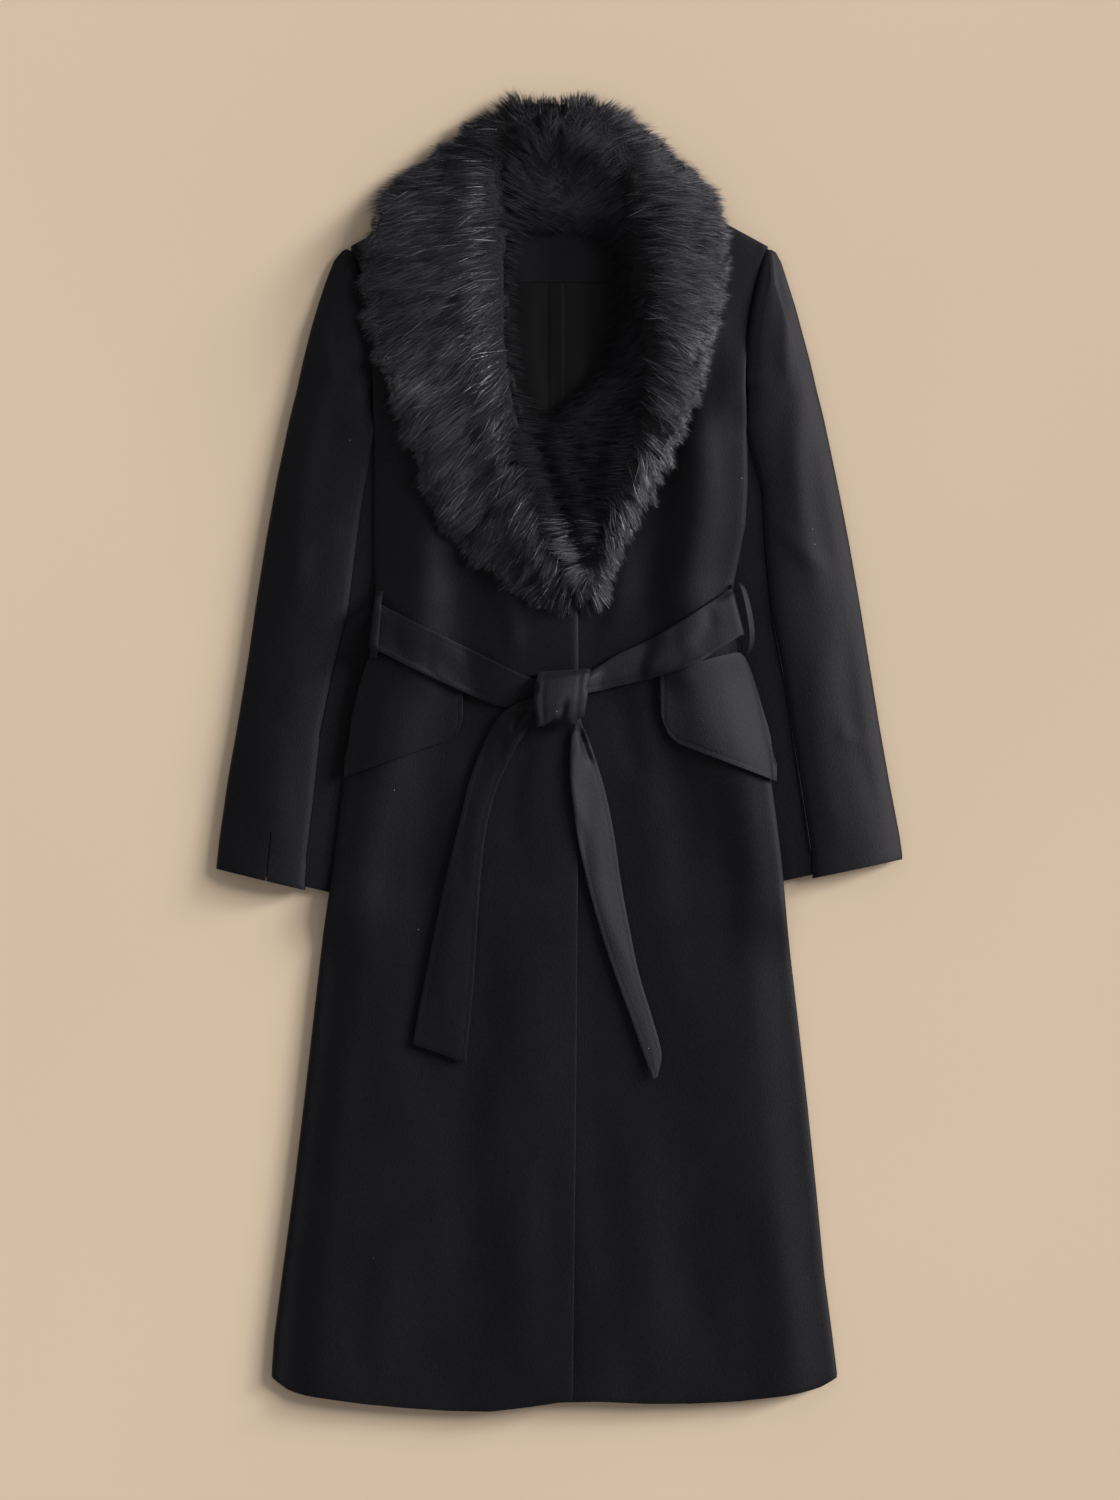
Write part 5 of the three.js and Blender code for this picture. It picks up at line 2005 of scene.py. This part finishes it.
    def beneath(self, room: Workroom, shape: CollarShape) -> None:
        """Makes the wool under the fur from the underside of the solid."""
        wool = self.merged_copy()
        away = [face for face in wool.faces if face.normal.z > -0.25]
        bmesh.ops.delete(wool, geom=away, context="FACES")
        self.draw_in(wool.verts, shape, self.wool_in)
        for corner in wool.verts:
            corner.co.z += self.wool_up
        area = sum(face.calc_area() for face in wool.faces)
        piece = new_object(f"{self.node}_wool", wool)
        wall = piece.modifiers.new("wall", "SOLIDIFY")
        wall.thickness = self.wool_thickness
        wall.offset = 1
        room.hand_over(piece, Wool(), Slot.WOOL)

    def mat(self, room: Workroom, shape: CollarShape) -> None:
        """Makes the under-fur from the whole solid, pressed down over the wool."""
        solid = self.merged_copy()
        bmesh.ops.subdivide_edges(solid, edges=solid.edges, cuts=1, use_grid_fill=True)
        places = np.array([corner.co for corner in solid.verts])
        under = shape.chart.read(shape.under[self.hand], places[:, :2])
        height = under + self.mat_up + np.maximum(places[:, 2] - under, 0) * self.mat_share
        for corner, z in zip(solid.verts, height):
            corner.co.z = z
        self.draw_in(solid.verts, shape, self.mat_in)
        every_way = {"use_axis_x": True, "use_axis_y": True, "use_axis_z": True}
        bmesh.ops.smooth_vert(solid, verts=solid.verts, factor=0.5, **every_way)
        piece = new_object(f"{self.node}_under_fur", solid)
        room.hand_over(piece, Underfur(), Slot.FUR, self.node)

    def build(self, room: Workroom, shape: CollarShape) -> None:
        """Makes the wool, the under-fur and the hairs.

        Args:
            room: Where the finishes are kept.
            shape: The measured collar.
        """
        self.beneath(room, shape)
        self.mat(room, shape)
        points, shades, inner, guard = self.strands(shape)
        outer = np.flatnonzero(~inner & ~guard)
        order = outer[np.argsort(points[outer, 0, 1])[::-1]]
        for k, part in enumerate(np.array_split(order, self.pieces)):
            self.hair_piece(f"{self.node}_hair_{k + 1}", points[part], shades[part], Hair(), room)
        guard &= ~inner
        self.hair_piece(f"{self.node}_guard_hair_painted_glints", points[guard], shades[guard], GlintGuardHair(), room)
        self.hair_piece(f"{self.node}_inner_hair", points[inner], shades[inner], PaintedShadeHair(), room)

    @staticmethod
    def hair_piece(name: str, points: Array, shades: Array, look: Hair, room: Workroom) -> None:
        """Joins many hairs into one piece.

        Args:
            name: The piece's name.
            points: The points of each hair's ribbon.
            shades: Each hair's shade.
            look: The hairs' finish.
            room: Where the finishes are kept.
        """
        piece = many(name, points, np.array([(0, 1, 3), (0, 3, 2), (2, 3, 4)]))
        shade = piece.data.attributes.new(look.shade, "FLOAT", "POINT")
        along = np.array([0.3, 0.3, 0.9, 0.9, 1.15])
        shade.data.foreach_set("value", (shades[:, None] * along).ravel().astype(np.float32))
        room.hand_over(piece, look, Slot.FUR)


@dataclass(frozen=True)
class Sun:
    """A light that comes from one side alike all over."""

    name: str
    from_side: Triple
    strength: float
    softness: float
    colour: Triple = (1.0, 0.99, 0.98)

    def shine(self) -> None:
        """Makes the light."""
        data = bpy.data.lights.new(self.name, "SUN")
        data.energy = self.strength
        data.angle = math.radians(self.softness)
        data.color = self.colour
        lamp = place(self.name, data)
        lamp.rotation_euler = (-Vector(self.from_side)).to_track_quat("-Z", "Y").to_euler()
        lamp.location = self.from_side


@dataclass
class Studio:
    """The ground, the light and the camera straight above, as in the photograph."""

    distance: float = 5.0
    sensor: float = 36.0
    pixels_up: float = 1.5
    ground_reach: float = 6.0
    suns: tuple[Sun, ...] = (
        Sun("key_light", (1.0, 0.38, 0.46), 3.1, 22.0),
        Sun("low_light", (1.0, 0.47, 0.255), 2.3, 11.0),
    )
    overhead: Triple = (0.105, 0.104, 0.103)
    horizon: Triple = (0.76, 0.752, 0.745)

    def camera(self) -> None:
        """Makes the camera and points it straight down."""
        data = bpy.data.cameras.new("camera")
        data.sensor_fit = "HORIZONTAL"
        data.sensor_width = self.sensor
        data.lens = self.sensor * self.distance / (PHOTO_WIDTH * MM_PER_PIXEL * MM)
        data.clip_end = self.distance * 10
        camera = place("camera", data)
        camera.location = (0, self.pixels_up * MM_PER_PIXEL * MM, self.distance)
        bpy.context.scene.camera = camera

    def surroundings(self) -> None:
        """Makes the dim room around, darker overhead than at the sides."""
        world = bpy.data.worlds.new("room")
        world.use_nodes = True
        tree = world.node_tree
        direction = tree.nodes.new("ShaderNodeTexCoord").outputs["Generated"]
        parts = tree.nodes.new("ShaderNodeSeparateXYZ")
        ramp = tree.nodes.new("ShaderNodeValToRGB")
        for element, colour in zip(ramp.color_ramp.elements, (self.horizon, self.overhead)):
            element.color = (*colour, 1)
        tree.links.new(direction, parts.inputs[0])
        tree.links.new(parts.outputs["Z"], ramp.inputs[0])
        tree.links.new(ramp.outputs[0], tree.nodes["Background"].inputs[0])
        bpy.context.scene.world = world

    def build(self, room: Workroom) -> None:
        """Makes the ground, the light, the room and the camera."""
        self.camera()
        shape = bmesh.new()
        bmesh.ops.create_grid(shape, x_segments=1, y_segments=1, size=self.ground_reach)
        ground = new_object("ground", shape)
        ground.data.materials.append(room.finish(Ground()))
        for sun in self.suns:
            sun.shine()
        self.surroundings()
        bpy.context.scene.view_settings.view_transform = "Standard"


RIGHT_ROLL = (
    (0, 607),
    (-18, 606),
    (-38, 601),
    (-52, 588),
    (-62, 556),
    (-65, 518),
    (-63, 462),
    (-58, 396),
    (-49, 330),
    (-37, 274),
    (-20, 218),
    (-2, 176),
    (12, 146),
)
RIGHT_TUFTS = (
    (-142, 527, 13),
    (-44, 600, 6),
    (-30, 604, 5),
    (-58, 592, 4),
    (0, 150, 5),
    (8, 138, 4),
    (-168, 500, -16),
    (-152, 500, -15),
    (-172, 470, -11),
    (-176, 436, -8),
    (-146, 347, -9),
    (-122, 293, -9),
)
# Places of painted highlights, with more pale guard hairs and lighter hair.
RIGHT_PAINTED_GLINTS = ((-128, 350, 26, 2.0), (-80, 392, 14, 1.5), (4, 150, 16, 2.5))
LEFT_ROLL = (
    (0, 607),
    (18, 606),
    (36, 601),
    (51, 588),
    (64, 556),
    (72, 518),
    (79, 462),
    (86, 406),
    (88, 359),
    (82, 302),
    (67, 255),
    (50, 218),
    (35, 180),
    (25, 146),
)
LEFT_TUFTS = ((36, 602, 5), (52, 594, 7), (104, 268, 7), (84, 236, 4), (24, 148, 6), (32, 140, 5))
LEFT_PAINTED_GLINTS = ((98, 280, 24, 4.5), (118, 392, 16, 1.5), (26, 150, 12, 2.5))


def main() -> None:
    """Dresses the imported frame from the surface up."""
    logging.basicConfig(level=logging.INFO, format="%(message)s")
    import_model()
    room, bed = Workroom(), Bed()
    Studio().build(room)
    Sleeve(Hand.RIGHT, -108, -137).build(room, bed)
    Sleeve(Hand.LEFT, -100, -127).build(room, bed)
    body = Body()
    body.back(room, bed)
    body.inside(room, bed)
    body.front(Hand.LEFT, room, bed)
    body.front(Hand.RIGHT, room, bed)
    for hand in Hand:
        Flap(hand).build(room, bed)
    Belt().build(room, bed)
    Knot().build(room, bed)
    Loops().build(room, bed)
    shape = CollarShape()
    # The tones paint shade near the right half's roll and light further out and over the left half.
    halves = (
        FurHalf(Hand.RIGHT, RIGHT_ROLL, 98000, 5, RIGHT_TUFTS, (0.34, 1.3), RIGHT_PAINTED_GLINTS),
        FurHalf(Hand.LEFT, LEFT_ROLL, 78000, 6, LEFT_TUFTS, (1.5, 1.5), LEFT_PAINTED_GLINTS),
    )
    for half in halves:
        half.build(room, shape)
    room.declare_sheets()


if __name__ == "__main__":
    main()
